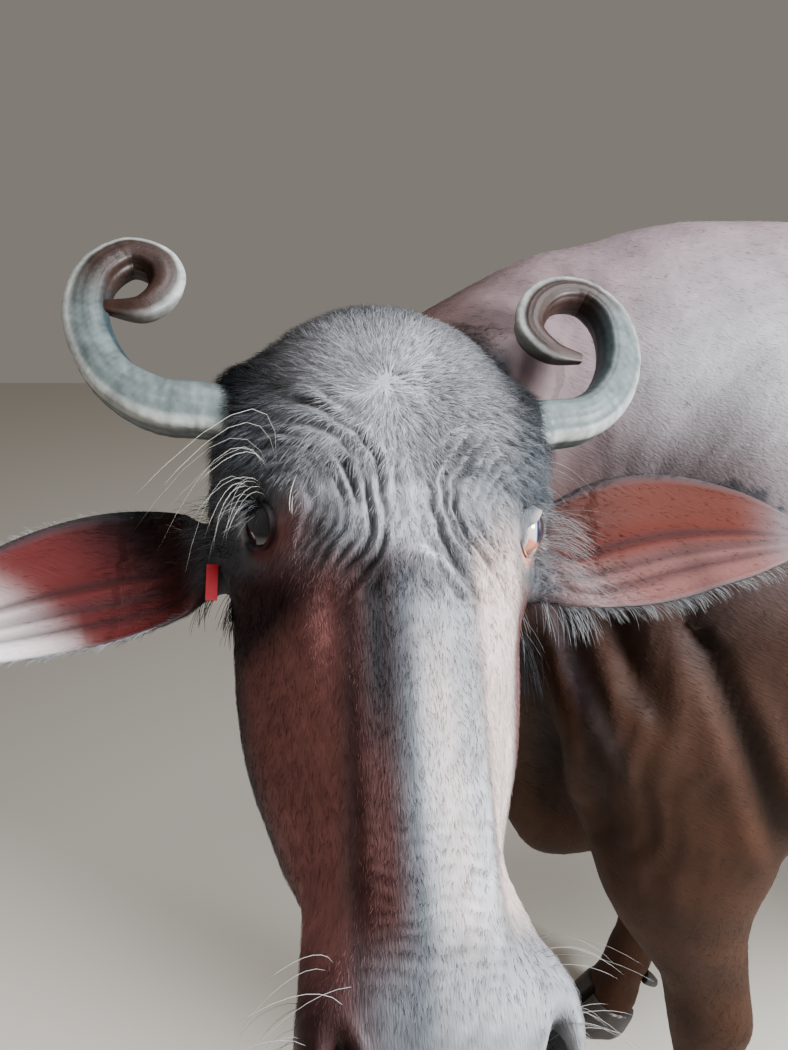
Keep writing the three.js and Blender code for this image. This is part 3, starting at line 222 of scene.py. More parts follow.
def copy_of(nodes, name):
    """One mesh of copies of the nodes, with equal points merged and no material."""
    select(*[frame["nodes"][node] for node in nodes])
    bpy.ops.object.duplicate()
    bpy.ops.object.parent_clear(type="CLEAR_KEEP_TRANSFORM")
    if len(nodes) > 1:
        bpy.ops.object.join()
    made = bpy.context.object
    made.name = name
    bpy.ops.object.transform_apply(location=True, rotation=True, scale=True)
    edit(made, bpy.ops.mesh.remove_doubles, threshold=0.00002)
    made.data.materials.clear()
    return made


def cut_off(thing, place, direction):
    """Keeps what lies behind a plane, and closes the cut."""
    edit(thing, bpy.ops.mesh.bisect, plane_co=place, plane_no=direction, use_fill=True, clear_outer=True)


def relaxed(points, pairs, turns, share):
    """Points drawn towards the mean of their neighbours. share is 0 to 1 for each point."""
    count = np.bincount(pairs.ravel(), minlength=len(points)).clip(1)
    share = np.broadcast_to(share, len(points))[:, None] * 0.6
    for _ in range(turns):
        mean = np.empty_like(points)
        for axis in range(3):
            total = np.bincount(pairs[:, 0], points[pairs[:, 1], axis], len(points))
            total += np.bincount(pairs[:, 1], points[pairs[:, 0], axis], len(points))
            mean[:, axis] = total / count
        points = points + (mean - points) * share
    return points


def relax(thing, turns, share=1.0):
    move_points(thing, relaxed(points_of(thing), pairs_of(thing), turns, share))


def voxels(thing, size):
    remesh = thing.modifiers.new("cells", "REMESH")
    remesh.mode = "VOXEL"
    remesh.voxel_size = size
    apply_all(thing)


def ramp(value, low, high):
    t = np.clip((value - low) / (high - low), 0, 1)
    return t * t * (3 - 2 * t)


def toe_plug(claw):
    """The upper part of a claw, drawn in so that it stays inside the horn."""
    toe = copy_of([claw], "toe_" + claw)
    cut_off(toe, Vector((0, 0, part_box(claw)[1][2] - TOE_DEPTH)), Vector((0, 0, -1)))
    centre = points_of(toe).mean(0)
    move_points(toe, centre + (points_of(toe) - centre) * np.array([0.9, 0.9, 1.0]) + np.array([0, 0, 0.002]))
    return toe


plugs = [copy_of(["eye_left", "eye_right"], "plug_eyes")]
for side, way in SIDES:
    for kind in ("ear_", "horn_"):
        plug = copy_of([kind + side], "plug_" + kind + side)
        cut_off(plug, FACE + AXES[0] * way * PLUG_REACH, AXES[0] * way)
        plugs.append(plug)
    for leg in ("foreleg_", "hindleg_"):
        plugs += [toe_plug("claw_" + leg + side + toe) for toe in ("_outer", "_inner")]
tail_plug = copy_of(["tail"], "plug_tail")
cut_off(tail_plug, BODY + Vector((1.475, 0, 1.268)), Vector((1, 0, -0.3)))
shape = copy_of(FLESH, "shape")
select(shape, tail_plug, *plugs)
bpy.ops.object.join()
voxels(shape, SHAPE_CELL)
relax(shape, 14)

bpy.ops.object.duplicate()
skin = bpy.context.object
skin.name = "hide"
voxels(skin, SKIN_CELL)


def wrap_on_shape(thing, chosen):
    tree = BVHTree.FromObject(shape, bpy.context.evaluated_depsgraph_get())
    points = points_of(thing)
    for i in np.flatnonzero(chosen):
        points[i] = tree.find_nearest(Vector(points[i]))[0]
    move_points(thing, points)


def refine(thing, chooser, cuts):
    """Splits the edges whose two ends are chosen into equal parts."""
    chosen = chooser(points_of(thing))
    mesh = bmesh.new()
    mesh.from_mesh(thing.data)
    mesh.verts.ensure_lookup_table()
    edges = [e for e in mesh.edges if chosen[e.verts[0].index] and chosen[e.verts[1].index]]
    bmesh.ops.subdivide_edges(mesh, edges=edges, cuts=cuts, use_grid_fill=True)
    bmesh.ops.triangulate(mesh, faces=[f for f in mesh.faces if len(f.verts) > 4])
    mesh.to_mesh(thing.data)
    mesh.free()
    thing.data.update()


def before_neck(h):
    """How far a place lies before the slanting plane that parts the head from the neck."""
    return h[:, 2] + 0.62 * (h[:, 1] + 100) + 190


def on_head(points):
    h = to_head(points)
    return (before_neck(h) > 0) & (h[:, 1] > -240) & (abs(h[:, 0]) < 190) & (h[:, 1] < 400)


def near_features(points):
    u, v, w = to_head(points).T
    out = abs(u)
    brow = (np.hypot(out - 95, v - 2) < 92) & (w > -36) & (out > 14) & (v < 66)
    snout = (out < 50) & (v > 180) & (w > -20)
    lips = (v > 232) & (abs(w + 84) < 14)
    return brow | (v > 296) | snout | lips


def on_neck(points):
    b = to_body(points)
    return (b[:, 0] < 480) & (b[:, 2] > 540) & ~on_head(points)


wrap_on_shape(skin, np.ones(len(skin.data.vertices), bool))
x, y, z = to_body(points_of(skin)).T
relax(skin, 26, ramp(x, 230, 420) * (1 - ramp(x, 1330, 1450)) * ramp(z, 640, 800))
refine(skin, on_neck, 1)
refine(skin, on_head, 3)
wrap_on_shape(skin, on_head(points_of(skin)))
refine(skin, near_features, 1)
wrap_on_shape(skin, near_features(points_of(skin)))
relax(skin, 3, on_head(points_of(skin)).astype(float))
bpy.data.objects.remove(shape)

# Ears: a long cup of thin gristle, open to the front, with lengthwise ridges inside and a rounded rim.
# Each is lofted along its middle line and united with the skin, as the tail is.
# Each row: u, v and w of the middle line, half width and depth of the cup.
EAR_ROWS = {
    "left": [
        (92, 4, -72, 24, 20),
        (122, 0, -66, 34, 26),
        (160, -12, -62, 50, 28),
        (205, -24, -58, 60, 25),
        (258, -34, -54, 59, 21),
        (312, -34, -50, 46, 14),
        (352, -28, -46, 26, 8),
        (378, -20, -43, 5, 4),
    ],
    "right": [
        (92, -4, -72, 24, 20),
        (122, -4, -68, 34, 26),
        (156, 1, -68, 47, 28),
        (196, 11, -69, 54, 25),
        (240, 25, -71, 51, 20),
        (283, 42, -74, 39, 13),
        (312, 54, -76, 22, 8),
        (330, 62, -77, 5, 4),
    ],
}
EAR_RIDGES = ((-0.5, 0.1, 2.6), (-0.12, 0.09, 3.4), (0.3, 0.1, 2.4))  # place across, width and height
EAR_RINGS = 56
EAR_ACROSS = 22
EAR_SHELL = 6.0
COAT_DEPTH = 1.2


def catmull(rows, at):
    """Smooth values of a table of rows at places counted in rows."""
    rows = np.array(rows, float)
    at = np.clip(np.atleast_1d(at), 0, len(rows) - 1)
    i = np.minimum(at.astype(int), len(rows) - 2)
    f = (at - i)[:, None]
    p0, p1, p2, p3 = rows[np.maximum(i - 1, 0)], rows[i], rows[i + 1], rows[np.minimum(i + 2, len(rows) - 1)]
    curve = (p2 - p0) * f + (2 * p0 - 5 * p1 + 4 * p2 - p3) * f**2 + (3 * p1 - p0 - 3 * p2 + p3) * f**3
    return p1 + curve / 2


def unit(vectors):
    return vectors / np.maximum(np.linalg.norm(vectors, axis=-1, keepdims=True), 1e-9)


def along_rows(rows, at, step):
    """The values of a middle line's rows, and the line's direction there."""
    last = len(rows) - 1
    ahead = catmull(rows, np.minimum(at + step, last))[:, :3]
    behind = catmull(rows, np.maximum(at - step, 0))[:, :3]
    return catmull(rows, at), unit(ahead - behind)


def bell(distance, width):
    return np.exp(-((distance / width) ** 2))


def dots(first, second):
    return np.einsum("ij,ij->i", first, second)


def mesh_of(name, points, faces):
    """A mesh from an array of points and an array of faces with equal numbers of corners."""
    mesh = bpy.data.meshes.new(name)
    mesh.vertices.add(len(points))
    mesh.vertices.foreach_set("co", np.asarray(points, dtype=np.float32).ravel())
    corners = faces.shape[1]
    mesh.loops.add(faces.size)
    mesh.loops.foreach_set("vertex_index", faces.ravel().astype(np.int32))
    mesh.polygons.add(len(faces))
    mesh.polygons.foreach_set("loop_start", np.arange(0, faces.size, corners, dtype=np.int32))
    mesh.update(calc_edges=True)
    made = bpy.data.objects.new(name, mesh)
    bpy.context.collection.objects.link(made)
    return made


def loft(name, rings, way):
    """A closed skin over rings of places on the head, with a small fan at each end."""
    count, sides = rings.shape[:2]
    rings = from_head(mirrored(rings, way).reshape(-1, 3)).reshape(rings.shape)
    points = np.concatenate([rings.reshape(-1, 3), rings[0].mean(0)[None], rings[-1].mean(0)[None]])
    row, step = np.meshgrid(np.arange(count - 1), np.arange(sides), indexing="ij")
    here = (row * sides + step).ravel()
    beside = (row * sides + (step + 1) % sides).ravel()
    first, last = count * sides, count * sides + 1
    step = np.arange(sides)
    end = (count - 1) * sides
    walls = [np.stack([here, beside, beside + sides], 1), np.stack([here, beside + sides, here + sides], 1)]
    start_fan = np.stack([np.full(sides, first), (step + 1) % sides, step], 1)
    end_fan = np.stack([np.full(sides, last), end + step, end + (step + 1) % sides], 1)
    made = mesh_of(name, points, np.concatenate(walls + [start_fan, end_fan]))
    edit(made, bpy.ops.mesh.normals_make_consistent, inside=False)
    return made


def ear_line(rows, along):
    row, line = along_rows(rows, along * (len(rows) - 1), 0.05)
    across = unit(np.cross(line, np.array([0.12, -0.1, 1.0])))
    return row, line, across, np.cross(across, line)


def ear_mesh(rows, way):
    along = np.linspace(0, 1, EAR_RINGS + 1)
    row, line, across, opening = ear_line(rows, along)
    half, deep = row[:, 3] - COAT_DEPTH, row[:, 4]
    cup = ramp(along, 0.16, 0.32)
    shell = EAR_SHELL * (1 - 0.6 * along)
    steps = np.linspace(-1, 1, EAR_ACROSS + 1)
    places, depths = [], []
    for t in steps:
        places.append(half * t)
        depths.append(-(deep - COAT_DEPTH) * math.sqrt(max(1 - t * t, 0)) - shell * 0.4)
    for t in steps[-2:0:-1]:
        bowl = math.sqrt(max(1 - t * t, 0))
        ridges = 2.4 * np.cos(3 * math.pi * t + 0.8 * along)
        for place, wide, high in EAR_RIDGES:
            ridges += high * bell(t - place * (1 - 0.4 * along), wide)
        open_depth = -(deep - shell * 0.9) * bowl + ridges * (1 - along) ** 0.6 * bowl
        places.append(half * t * 0.97)
        depths.append(deep * 0.4 * bowl * (1 - cup) + open_depth * cup + shell * 0.15)
    places, depths = np.stack(places, 1)[..., None], np.stack(depths, 1)[..., None]
    return loft("ear", row[:, None, :3] + across[:, None] * places + opening[:, None] * depths, way)


def ear_places(points, normals, side, way):
    """Whether each point lies on an ear, how far along and across it, and how far it faces the opening."""
    h = mirrored(to_head(points), way)
    along = np.linspace(0, 1, 60)
    row, line, across, opening = ear_line(EAR_ROWS[side], along)
    near = np.zeros(len(h), int)
    close = np.flatnonzero(h[:, 0] > 92)
    near[close] = np.linalg.norm(h[close][:, None] - row[None, :, :3], axis=2).argmin(1)
    row, across, opening = row[near], across[near], opening[near]
    offset = h - row[:, :3]
    t = dots(offset, across) / np.maximum(row[:, 3], 8)
    depth = dots(offset, opening) / np.maximum(row[:, 4], 5)
    facing = dots(mirrored(normals @ TURN.T, way), opening)
    reach = np.linalg.norm(offset, axis=1) < row[:, 3] * 1.25 + 8
    on = (h[:, 0] > 104) & reach & (near > 0) & (h[:, 1] > -110) & (depth * row[:, 4] > -34)
    return on.astype(float), along[near], t, facing


def unite(thing, other):
    union = thing.modifiers.new("union", "BOOLEAN")
    union.operation = "UNION"
    union.solver = "MANIFOLD"
    union.object = other
    apply_all(thing)
    bpy.data.objects.remove(other)


for side, way in SIDES:
    unite(skin, ear_mesh(EAR_ROWS[side], way))
tail = copy_of(["tail"], "tail_copy")
smooth_tail = tail.modifiers.new("round", "SUBSURF")
smooth_tail.levels = 1
smooth_tail.render_levels = 1
apply_all(tail)
unite(skin, tail)

points = points_of(skin)
seam = 1 - ramp(np.linalg.norm(to_body(points) - np.array([1470, 0, 1262]), axis=1), 40, 70)
for side, way in SIDES:
    root = mirrored(EAR_ROWS[side][1][:3], way)
    from_root = np.linalg.norm((to_head(points) - root) * np.array([2.2, 1, 1]), axis=1)
    seam = np.maximum(seam, 1 - ramp(from_root, 34, 58))
relax(skin, 10, seam)

# Folds of the hide: loose skin lies in folds above and inside each eye, on the neck, the brisket and the
# shoulder. Each point moves along its own normal; creases are kept to darken: part dirt, part painted shade.
EYE_FOLDS = (  # radius and depth
    (31, 1.2), (37, 1.6), (44.5, 2.2), (51, 2.0), (60, 3.6), (68, 3.0), (78, 3.4), (87, 1.8),
)
NECK_FOLDS = (  # start and end in the XZ plane, depth and width
    ((166, 1290), (160, 1100), 7, 11),
    ((196, 1300), (190, 1150), 4, 9),
    ((120, 1060), (200, 640), 11, 13),
    ((160, 1060), (232, 720), 7, 10),
    ((196, 1040), (256, 900), 6, 12),
    ((258, 1060), (422, 715), 11, 14),
    ((305, 1010), (445, 790), 4, 12),
    ((150, 900), (232, 620), 5, 11),
    ((500, 720), (560, 900), 4, 14),
    ((1120, 760), (1190, 640), 6, 16),
)


def waves(points, scale, seed):
    """Smooth uneven values between -1 and 1."""
    draw = np.random.default_rng(seed)
    total = np.zeros(len(points))
    for _ in range(7):
        way = draw.normal(size=3)
        way /= np.linalg.norm(way)
        total += np.sin(points @ way * (2 * math.pi / scale) * draw.uniform(0.6, 1.6) + draw.uniform(0, 6.28))
    return total / 3.2


def groove(distance, width):
    """A narrow furrow between two low swellings."""
    return 0.55 * bell(abs(distance) - 2 * width, 1.2 * width) - bell(distance, width)


def from_line(x, z, start, end):
    """Distance to a stretch in the XZ plane, and a share that fades past its ends."""
    start, end = np.array(start, float), np.array(end, float)
    length = np.linalg.norm(end - start)
    along = (end - start) / length
    from_x, from_z = x - start[0], z - start[1]
    t = (from_x * along[0] + from_z * along[1]) / length
    return from_x * along[1] - from_z * along[0], np.clip(np.minimum(t + 0.15, 1.15 - t) / 0.3, 0, 1)


points, normals = points_of(skin), normals_of(skin)
h, b = to_head(points), to_body(points)
u, v, w = h.T
x, y, z = b.T
out = abs(u)
head = on_head(points) & (out < 118)
lift = np.zeros(len(points))
crease_dirt_and_shade = np.zeros(len(points))

ring = np.hypot(out - 94, v - 2) + 3.2 * waves(h, 70, 3) + 1.2 * waves(h, 26, 4)
turn = np.degrees(np.arctan2(-(v - 2), 94 - out))
sector = ramp(turn, -62, -34) * (1 - ramp(turn, 92, 130)) * head * (w > -38)
for radius, depth in EYE_FOLDS:
    uneven = ramp(waves(h, 55, int(radius) + 9), -0.9, 0.5) * sector
    lift += groove(ring - radius, 1.4 + radius / 60) * depth * uneven
    crease_dirt_and_shade += bell(ring - radius, 1.2 + radius / 55) * uneven * depth / 3.4

off_head = ramp(-np.minimum(before_neck(h), np.minimum(v + 240, 190 - out)), 0, 60)
side_share = np.where(y < 0, 1.0, 0.6) * ramp(abs(y), 30, 90) * off_head
for start, end, depth, width in NECK_FOLDS:
    far, share = from_line(x, z, start, end)
    far = far + 6 * waves(b, 260, 5)
    lift += depth * groove(far, width) * share * side_share
    crease_dirt_and_shade += 0.09 * depth * bell(far, width) * share * side_share
neck = ramp(x, -60, 60) * (1 - ramp(x, 240, 380)) * off_head * ramp(z, 560, 700)
lift += 1.0 * np.sin(x / 4.6 + 2.5 * waves(b, 120, 8)) * neck * (1 - ramp(z, 1080, 1200))
trunk = ramp(x, 300, 520) * (1 - ramp(x, 1400, 1480)) * ramp(z, 600, 760)
ribs = ramp(x, 600, 680) * (1 - ramp(x, 960, 1040)) * ramp(abs(y), 180, 260)
lift += 1.5 * np.sin((x + 0.28 * z) / 8.5) * ribs * ramp(z, 700, 850) * (1 - ramp(z, 1120, 1220))
lift += (2.0 * waves(b, 190, 11) + 0.5 * waves(b, 60, 12)) * trunk

# Nose and mouth: the bridge of the nose starts at an arched crest and has a low ridge on each side.
# Below it are fine cross ripples, slanting nostrils, the line of the mouth and the cleft of the upper lip.
NOSTRIL = (7, 335, -30)  # middle of the two
NOSTRIL_APART = 56  # from the middle to each
MOUTH_W = -84


def hollow(across, along, half_across, half_along):
    """1 inside an oval, fading at its rim."""
    return np.exp(-(((across / half_across) ** 2 + (along / half_along) ** 2) ** 1.6))


crest = np.hypot((u - 2) / 0.86, v - 60) - 27
lift += 2.0 * bell(crest, 3.2) * head * (1 - ramp(v, 50, 64)) * (w > 0)
bridge = ramp(v, 40, 70) * (1 - ramp(v, 200, 250)) * head * (w > -30)
lift += (2.6 * bell(out - 36, 7) - 2.4 * bell(out - 53, 8)) * bridge
snout = ramp(v, 178, 205) * (1 - ramp(v, 262, 285)) * (1 - ramp(out, 30, 52)) * (w > -20)
lift += 0.34 * np.sin((v + 3 * waves(h, 60, 31)) * 2 * math.pi / 7.5) * snout * (1 + waves(h, 24, 32))
for way in (-1, 1):
    place = h - np.array(NOSTRIL) - np.array([NOSTRIL_APART * way, 0, 0])
    across = place @ unit(np.array([0.92 * way, 0.3, 0.2]))
    along = place @ unit(np.array([-0.3 * way, 0.7, 0.62]))
    rim = bell(np.hypot(across / 7, along / 15) - 1.6, 0.45)
    lift += (1.6 * rim - 13 * hollow(across, along, 7, 15)) * (v > 270)
    # Painted shade: the nostrils' hollows are marked to be darkened too.
    crease_dirt_and_shade += hollow(across, along, 7.5, 15) * (v > 270)
lift += 3.2 * groove(w - MOUTH_W + 3 * np.cos(u / 22), 3.0) * ramp(v, 232, 262) * head
lift += 1.2 * groove(u - 8, 2.2) * ramp(v, 300, 322) * (w > MOUTH_W)
at_ear = ramp(out, 100, 140) * (abs(v) < 115) * (w > -165)
lift = (lift - COAT_DEPTH * 1.5) * (1 - at_ear)
points = points + normals * lift[:, None] / 1000

# Lids: soft skin that follows the eyeball, with an almond opening whose rim stands a little off it.
# The left opening is cut off by a straight edge on its inner side, as the photo shows it.
EYE_PLACE = {"left": (94.0, -9.0, -19.0), "right": (84.0, -4.0, -21.0)}
EYE_RADIUS = 19.5
LID_THICK = 2.2
LID_SUNK = 14.5  # distance from the eyeball's centre of the skin inside the opening
LID_AIM = {"left": (0.74, 0.6, 0.27), "right": (0.82, 0.2, 0.46)}
LID_SLIT = {"left": (-0.42, 0.75, -0.515), "right": (-0.7, 0.66, -0.25)}
LID_EDGE = {"left": 0.42, "right": -1.0}  # the lid covers what lies less far out than this share
LID_HALF = {"left": (16.5, 12.5), "right": (18.5, 12.5)}  # along and across the opening


def lid_axes(side, way):
    aim = unit(mirrored(LID_AIM[side], way))
    slit = mirrored(LID_SLIT[side], way)
    slit = unit(slit - aim * (slit @ aim))
    return aim, slit, np.cross(aim, slit) * way


def lid_places(h, side, way):
    """Places from the eyeball's centre, their parts along the lids' three axes, their distance from it,
    and how each lies to the opening: 0 in its middle, 1 at its rim."""
    place = h - mirrored(EYE_PLACE[side], way)
    forward, along, across = (place @ axis for axis in lid_axes(side, way))
    radius = np.linalg.norm(place, axis=1)
    half_long, half_wide = LID_HALF[side]
    over = (abs(along) / half_long) ** 2 + (abs(across) / half_wide) ** 1.6
    outward = place @ np.array([0.879 * way, 0.474, -0.031]) / np.maximum(radius, 1)
    return place, forward, along, across, radius, np.maximum(over, 1 + 6 * (LID_EDGE[side] - outward))


for side, way in SIDES:
    h = to_head(points)
    place, forward, along, across, radius, over = lid_places(h, side, way)
    front = ((forward > 1) | (place[:, 0] * way > 0)) & (radius < 46) & (abs(h[:, 0]) < 122)
    over = np.where(forward > 1, over, 9)
    lid = EYE_RADIUS + LID_THICK + 0.9 * bell(over - 1.25, 0.3) - 1.6 * bell(over - 2.5, 0.4)
    lid += 1.0 * bell(over - 3.6, 0.5)
    goal = np.maximum(lid + (radius - lid) * ramp(over, 2.6, 6.5), EYE_RADIUS + 1.2)
    goal = LID_SUNK + (goal - LID_SUNK) * ramp(over, 0.8, 1.02)
    goal = np.where(front, goal, radius)
    points = points + (place @ TURN) * (goal / np.maximum(radius, 1) - 1)[:, None] / 1000
move_points(skin, points)

# Colours of the hide: slate and blue-grey on the head, pink and red on the face, brown and mauve behind.
# They are worked out from the place on the body, and the coat takes the same ones.
# All colours are linear red, green and blue.
# Some colours stand in for light: the face is paler towards the window and darker on its other side, and
# there are painted highlights, a painted sheen on the trunk and painted shade in creases and at an ear's
# base.
LOWER_BROWN = (0.037, 0.0155, 0.0085)
UPPER_MAUVE = (0.165, 0.120, 0.130)
SHEEN_GREY = (0.393, 0.393, 0.417)
UDDER_PINK = (0.200, 0.110, 0.105)
SLATE = (0.046, 0.050, 0.057)
BLUE_GREY = (0.090, 0.100, 0.114)
PALE_GREY = (0.262, 0.262, 0.278)
FOREHEAD_GREY = (0.3144, 0.3144, 0.3336)
BRIDGE_GREY = (0.4192, 0.4192, 0.4448)
CREST_HIGHLIGHT = (0.4454, 0.4454, 0.4726)
BLUE_BLACK = (0.008, 0.009, 0.011)
CHEEK_RED = (0.165, 0.066, 0.060)
BRIDGE_RED = (0.066, 0.0264, 0.024)
CHEEK_DARK = (0.018, 0.009, 0.010)
ROSE = (0.150, 0.066, 0.066)
ROSE_DARK = (0.075, 0.033, 0.033)
PAINTED_LIGHT_PINK = (0.500, 0.400, 0.370)
LID_PALE = (0.520, 0.420, 0.380)
CORNER_PINK = (0.420, 0.220, 0.170)
EAR_BACK = (0.0368, 0.040, 0.0456)
EAR_RED = (0.070, 0.012, 0.012)
EAR_ORANGE = (0.075, 0.012, 0.007)
EAR_PINK = (0.150, 0.062, 0.056)
EAR_PALE = (0.270, 0.225, 0.225)
EAR_DULL = (0.060, 0.016, 0.010)
EAR_WHITE = (0.850, 0.780, 0.790)


def painted(colour, count, layers):
    """A colour for each of count points, under layers of other colours, each with its share."""
    found = np.broadcast_to(np.array(colour), (count, 3))
    for other, share in layers:
        share = np.clip(share, 0, 1)[:, None]
        found = found * (1 - share) + np.array(other) * share
    return found


def spot(h, u, v, half_u, half_v):
    return bell(h[:, 0] - u, half_u) * bell(h[:, 1] - v, half_v)


def body_colours(b):
    x, y, z = b.T
    height = z + 45 * waves(b, 420, 21)
    # Painted sheen: broad pale patches high on both flanks behind the shoulder.
    painted_sheen = bell(z - 1190, 100) * ramp(x, 180, 300) * (1 - ramp(x, 900, 1300))
    # Painted highlight: a pale stripe along the lit edge of a fold on the neck.
    fold_highlight = bell(x - 150 - 0.45 * (1000 - z), 9) * ramp(z, 820, 900) * (1 - ramp(z, 1060, 1160))
    colour = painted(LOWER_BROWN, len(b), [
        # Paler mauve above and brown below: partly the hide's own colours, partly painted light from above.
        (UPPER_MAUVE, ramp(height, 990, 1200) * ramp(x, -40, 220)),
        (UPPER_MAUVE, 0.05 * ramp(height, 760, 1000) * ramp(x, 120, 400)),
        # Painted sheen on the flanks.
        (SHEEN_GREY, painted_sheen * (0.6 + 0.4 * waves(b, 240, 27))),
        # Painted highlight along a neck fold.
        (UPPER_MAUVE, fold_highlight),
        (UDDER_PINK, bell(x - 1190, 150) * bell(z - 590, 90)),
    ])
    return colour * (1 + 0.14 * waves(b, 70, 22) + 0.10 * waves(b, 18, 23))[:, None]


def lid_layers(h, side, way):
    place, forward, along, across, radius, over = lid_places(h, side, way)
    near = (radius < 34) * (forward > 0)
    rim = bell(over - 1.3, 0.5) * near
    inner = ramp(along, 10, 16) * near * (1 - ramp(over, 1.6, 2.4))
    if side == "left":
        layers = [(LID_PALE, rim), (CORNER_PINK, inner)]
    else:
        pale_rim = rim * ramp(-across, 4, 9) * (1 - ramp(along, 0, 8))
        layers = [(BLUE_BLACK, rim), (PALE_GREY, pale_rim), (ROSE_DARK, inner)]
    return layers + [(BLUE_BLACK, near * (1 - ramp(over, 0.7, 0.95)))]


def head_colours(h):
    u, v, w = h.T
    out = abs(u)
    temple = ramp(out, 48, 86) * (1 - ramp(v, -74, -30))
    ring = np.hypot(out - 95, v - 2)
    forehead = np.exp(-(((u + 12) / (64 - 0.04 * (v + 110)).clip(12)) ** 4))
    forehead = forehead * ramp(v, -190, -110) * (1 - ramp(v, 26, 50))
    forehead = forehead * (1 - 0.8 * spot(h, -46, 20, 17, 26)) * (1 - 0.45 * spot(h, 36, 10, 14, 60))
    face = ramp(v, 18, 60) * ramp(w, -110, -60)
    bridge = face * (1 - ramp(u, 32, 42)) * ramp(u, -46, -38)
    # A painted highlight down the bridge below its crest.
    bridge_highlight = bell(u - 6 - 0.04 * v, 10) * face * ramp(v, 60, 130)
    shade = bell(u + 25, 15) * face * (1 - 0.8 * ramp(v, 110, 190))
    # Painted light: a pale pink plane on the side of the nose that faces the window.
    plane = ramp(u, 34, 50) * (1 - ramp(u, 76, 90)) * ramp(v, 8, 44) * (1 - ramp(v, 225, 275))
    crest = np.hypot((u - 2) / 0.86, v - 60) - 27
    muzzle = ramp(v, 236, 285) * (1 - ramp(out, 70, 92))
    layers = [
        (BLUE_BLACK, temple),
        (BLUE_GREY, (1 - ramp(ring, 60, 105)) * (1 - ramp(v, 10, 40))),
        (FOREHEAD_GREY, 0.9 * forehead),
        (SLATE, 0.35 * spot(h, 30, -90, 14, 60)),
        (PALE_GREY, 0.7 * spot(h, 64, -70, 22, 44)),
        (CHEEK_RED, face * ramp(-u, 34, 52)),
        (CHEEK_DARK, spot(h, -88, 52, 42, 26) + 0.8 * spot(h, -112, 170, 22, 160)),
        (CHEEK_DARK, 0.8 * spot(h, -60, 18, 14, 26)),
        (ROSE, spot(h, -80, 12, 11, 20)),
        (CHEEK_RED, face * ramp(u, 78, 98) * 0.9),
        # The bridge: dark red-brown towards the animal's right, partly painted shade, and grey towards its
        # left, partly its own grey and partly painted light.
        (BRIDGE_RED, bridge),
        (BLUE_GREY, bridge * ramp(u, -26, -6)),
        (PALE_GREY, bridge * ramp(u, -10, 5) * ramp(v, 40, 100)),
        (PALE_GREY, 0.5 * bridge * ramp(u, -8, 20)),
        (BRIDGE_GREY, 0.6 * bridge * ramp(u, -8, 4) * ramp(v, 100, 200)),
        # Painted highlight down the bridge.
        (PAINTED_LIGHT_PINK, 0.5 * bridge_highlight),
        (BLUE_BLACK, 0.94 * shade),
        # Painted light on the side of the nose towards the window.
        (PAINTED_LIGHT_PINK, plane * ramp(w, -100, -50)),
        # A painted highlight on the arched crest above the bridge.
        (CREST_HIGHLIGHT, bell(crest, 3) * (1 - ramp(v, 44, 58)) * ramp(u, -4, 8) * (w > 0)),
        # The painted light reaches up towards the eye.
        (PAINTED_LIGHT_PINK, 0.75 * spot(h, 74, 22, 16, 22)),
        # Across the muzzle: painted shade on the animal's right, blue-grey in the middle, and a pale painted
        # highlight of the wet nose on its left.
        (BLUE_GREY, 0.85 * muzzle * ramp(u, -62, -22)),
        (CHEEK_DARK, 0.9 * muzzle * (1 - ramp(u, -58, -26))),
        (PALE_GREY, 0.9 * muzzle * ramp(u, -16, 14)),
        (BLUE_BLACK, 0.85 * ramp(v, 250, 300) * ramp(-w, 40, 80)),
    ]
    for side, way in SIDES:
        layers += lid_layers(h, side, way)
    return painted(SLATE, len(h), layers) * (1 + 0.12 * waves(h, 36, 24) + 0.14 * waves(h, 9, 25))[:, None]


def ear_colours(along, t, facing, side):
    tip = ramp(along, 0.7, 0.97)
    if side == "left":
        layers = [
            (EAR_PINK, ramp(-t, -0.05, 0.35)),
            (EAR_PALE, 0.5 * tip + 0.4 * (1 - ramp(along, 0.3, 0.45)) * ramp(-t, -0.1, 0.4)),
        ]
    else:
        layers = [
            (EAR_PINK, ramp(along - 0.1 * t, 0.5, 0.72)),
            (EAR_WHITE, ramp(along - 0.1 * t, 0.54, 0.78)),
            # Painted shadow: the base of the cup is dark.
            (BLUE_BLACK, 0.85 * (1 - ramp(along - 0.15 * t, 0.2, 0.42))),
        ]
    for place in (-0.66, -0.3, 0.1):
        layers.append((CHEEK_DARK, 0.75 * bell(t - place * (1 - 0.4 * along), 0.09) * (1 - tip)))
    if side == "left":
        layers.append((CHEEK_DARK, 0.92 * (1 - ramp(along, 0.3, 0.56)) * ramp(t, 0.0, 0.6)))
        layers.append((EAR_DULL, 0.6 * ramp(t, 0.1, 0.5) * (1 - ramp(along, 0.6, 0.9))))
    layers.append((SLATE, 0.85 * ramp(abs(t), 0.9, 1.0)))
    if side == "left":
        layers.append((BLUE_GREY, 0.6 * tip))
    inside = painted(EAR_ORANGE if side == "left" else EAR_RED, len(t), layers)
    return painted(EAR_BACK, len(t), [(inside, ramp(facing, -0.12, 0.12))])


def hide_colours(points, normals):
    h, b = to_head(points), to_body(points)
    share = ramp(before_neck(h), -10, 70) * ramp(h[:, 1], -250, -200)
    share = share * (1 - ramp(abs(h[:, 0]), 130, 150)) * (h[:, 1] < 420)
    layers = [(head_colours(h), share)]
    for side, way in SIDES:
        on, along, t, facing = ear_places(points, normals, side, way)
        layers.append((ear_colours(along, t, facing, side), on * ramp(along, 0.05, 0.36)))
    return np.clip(painted(body_colours(b), len(b), layers), 0.004, 0.9)


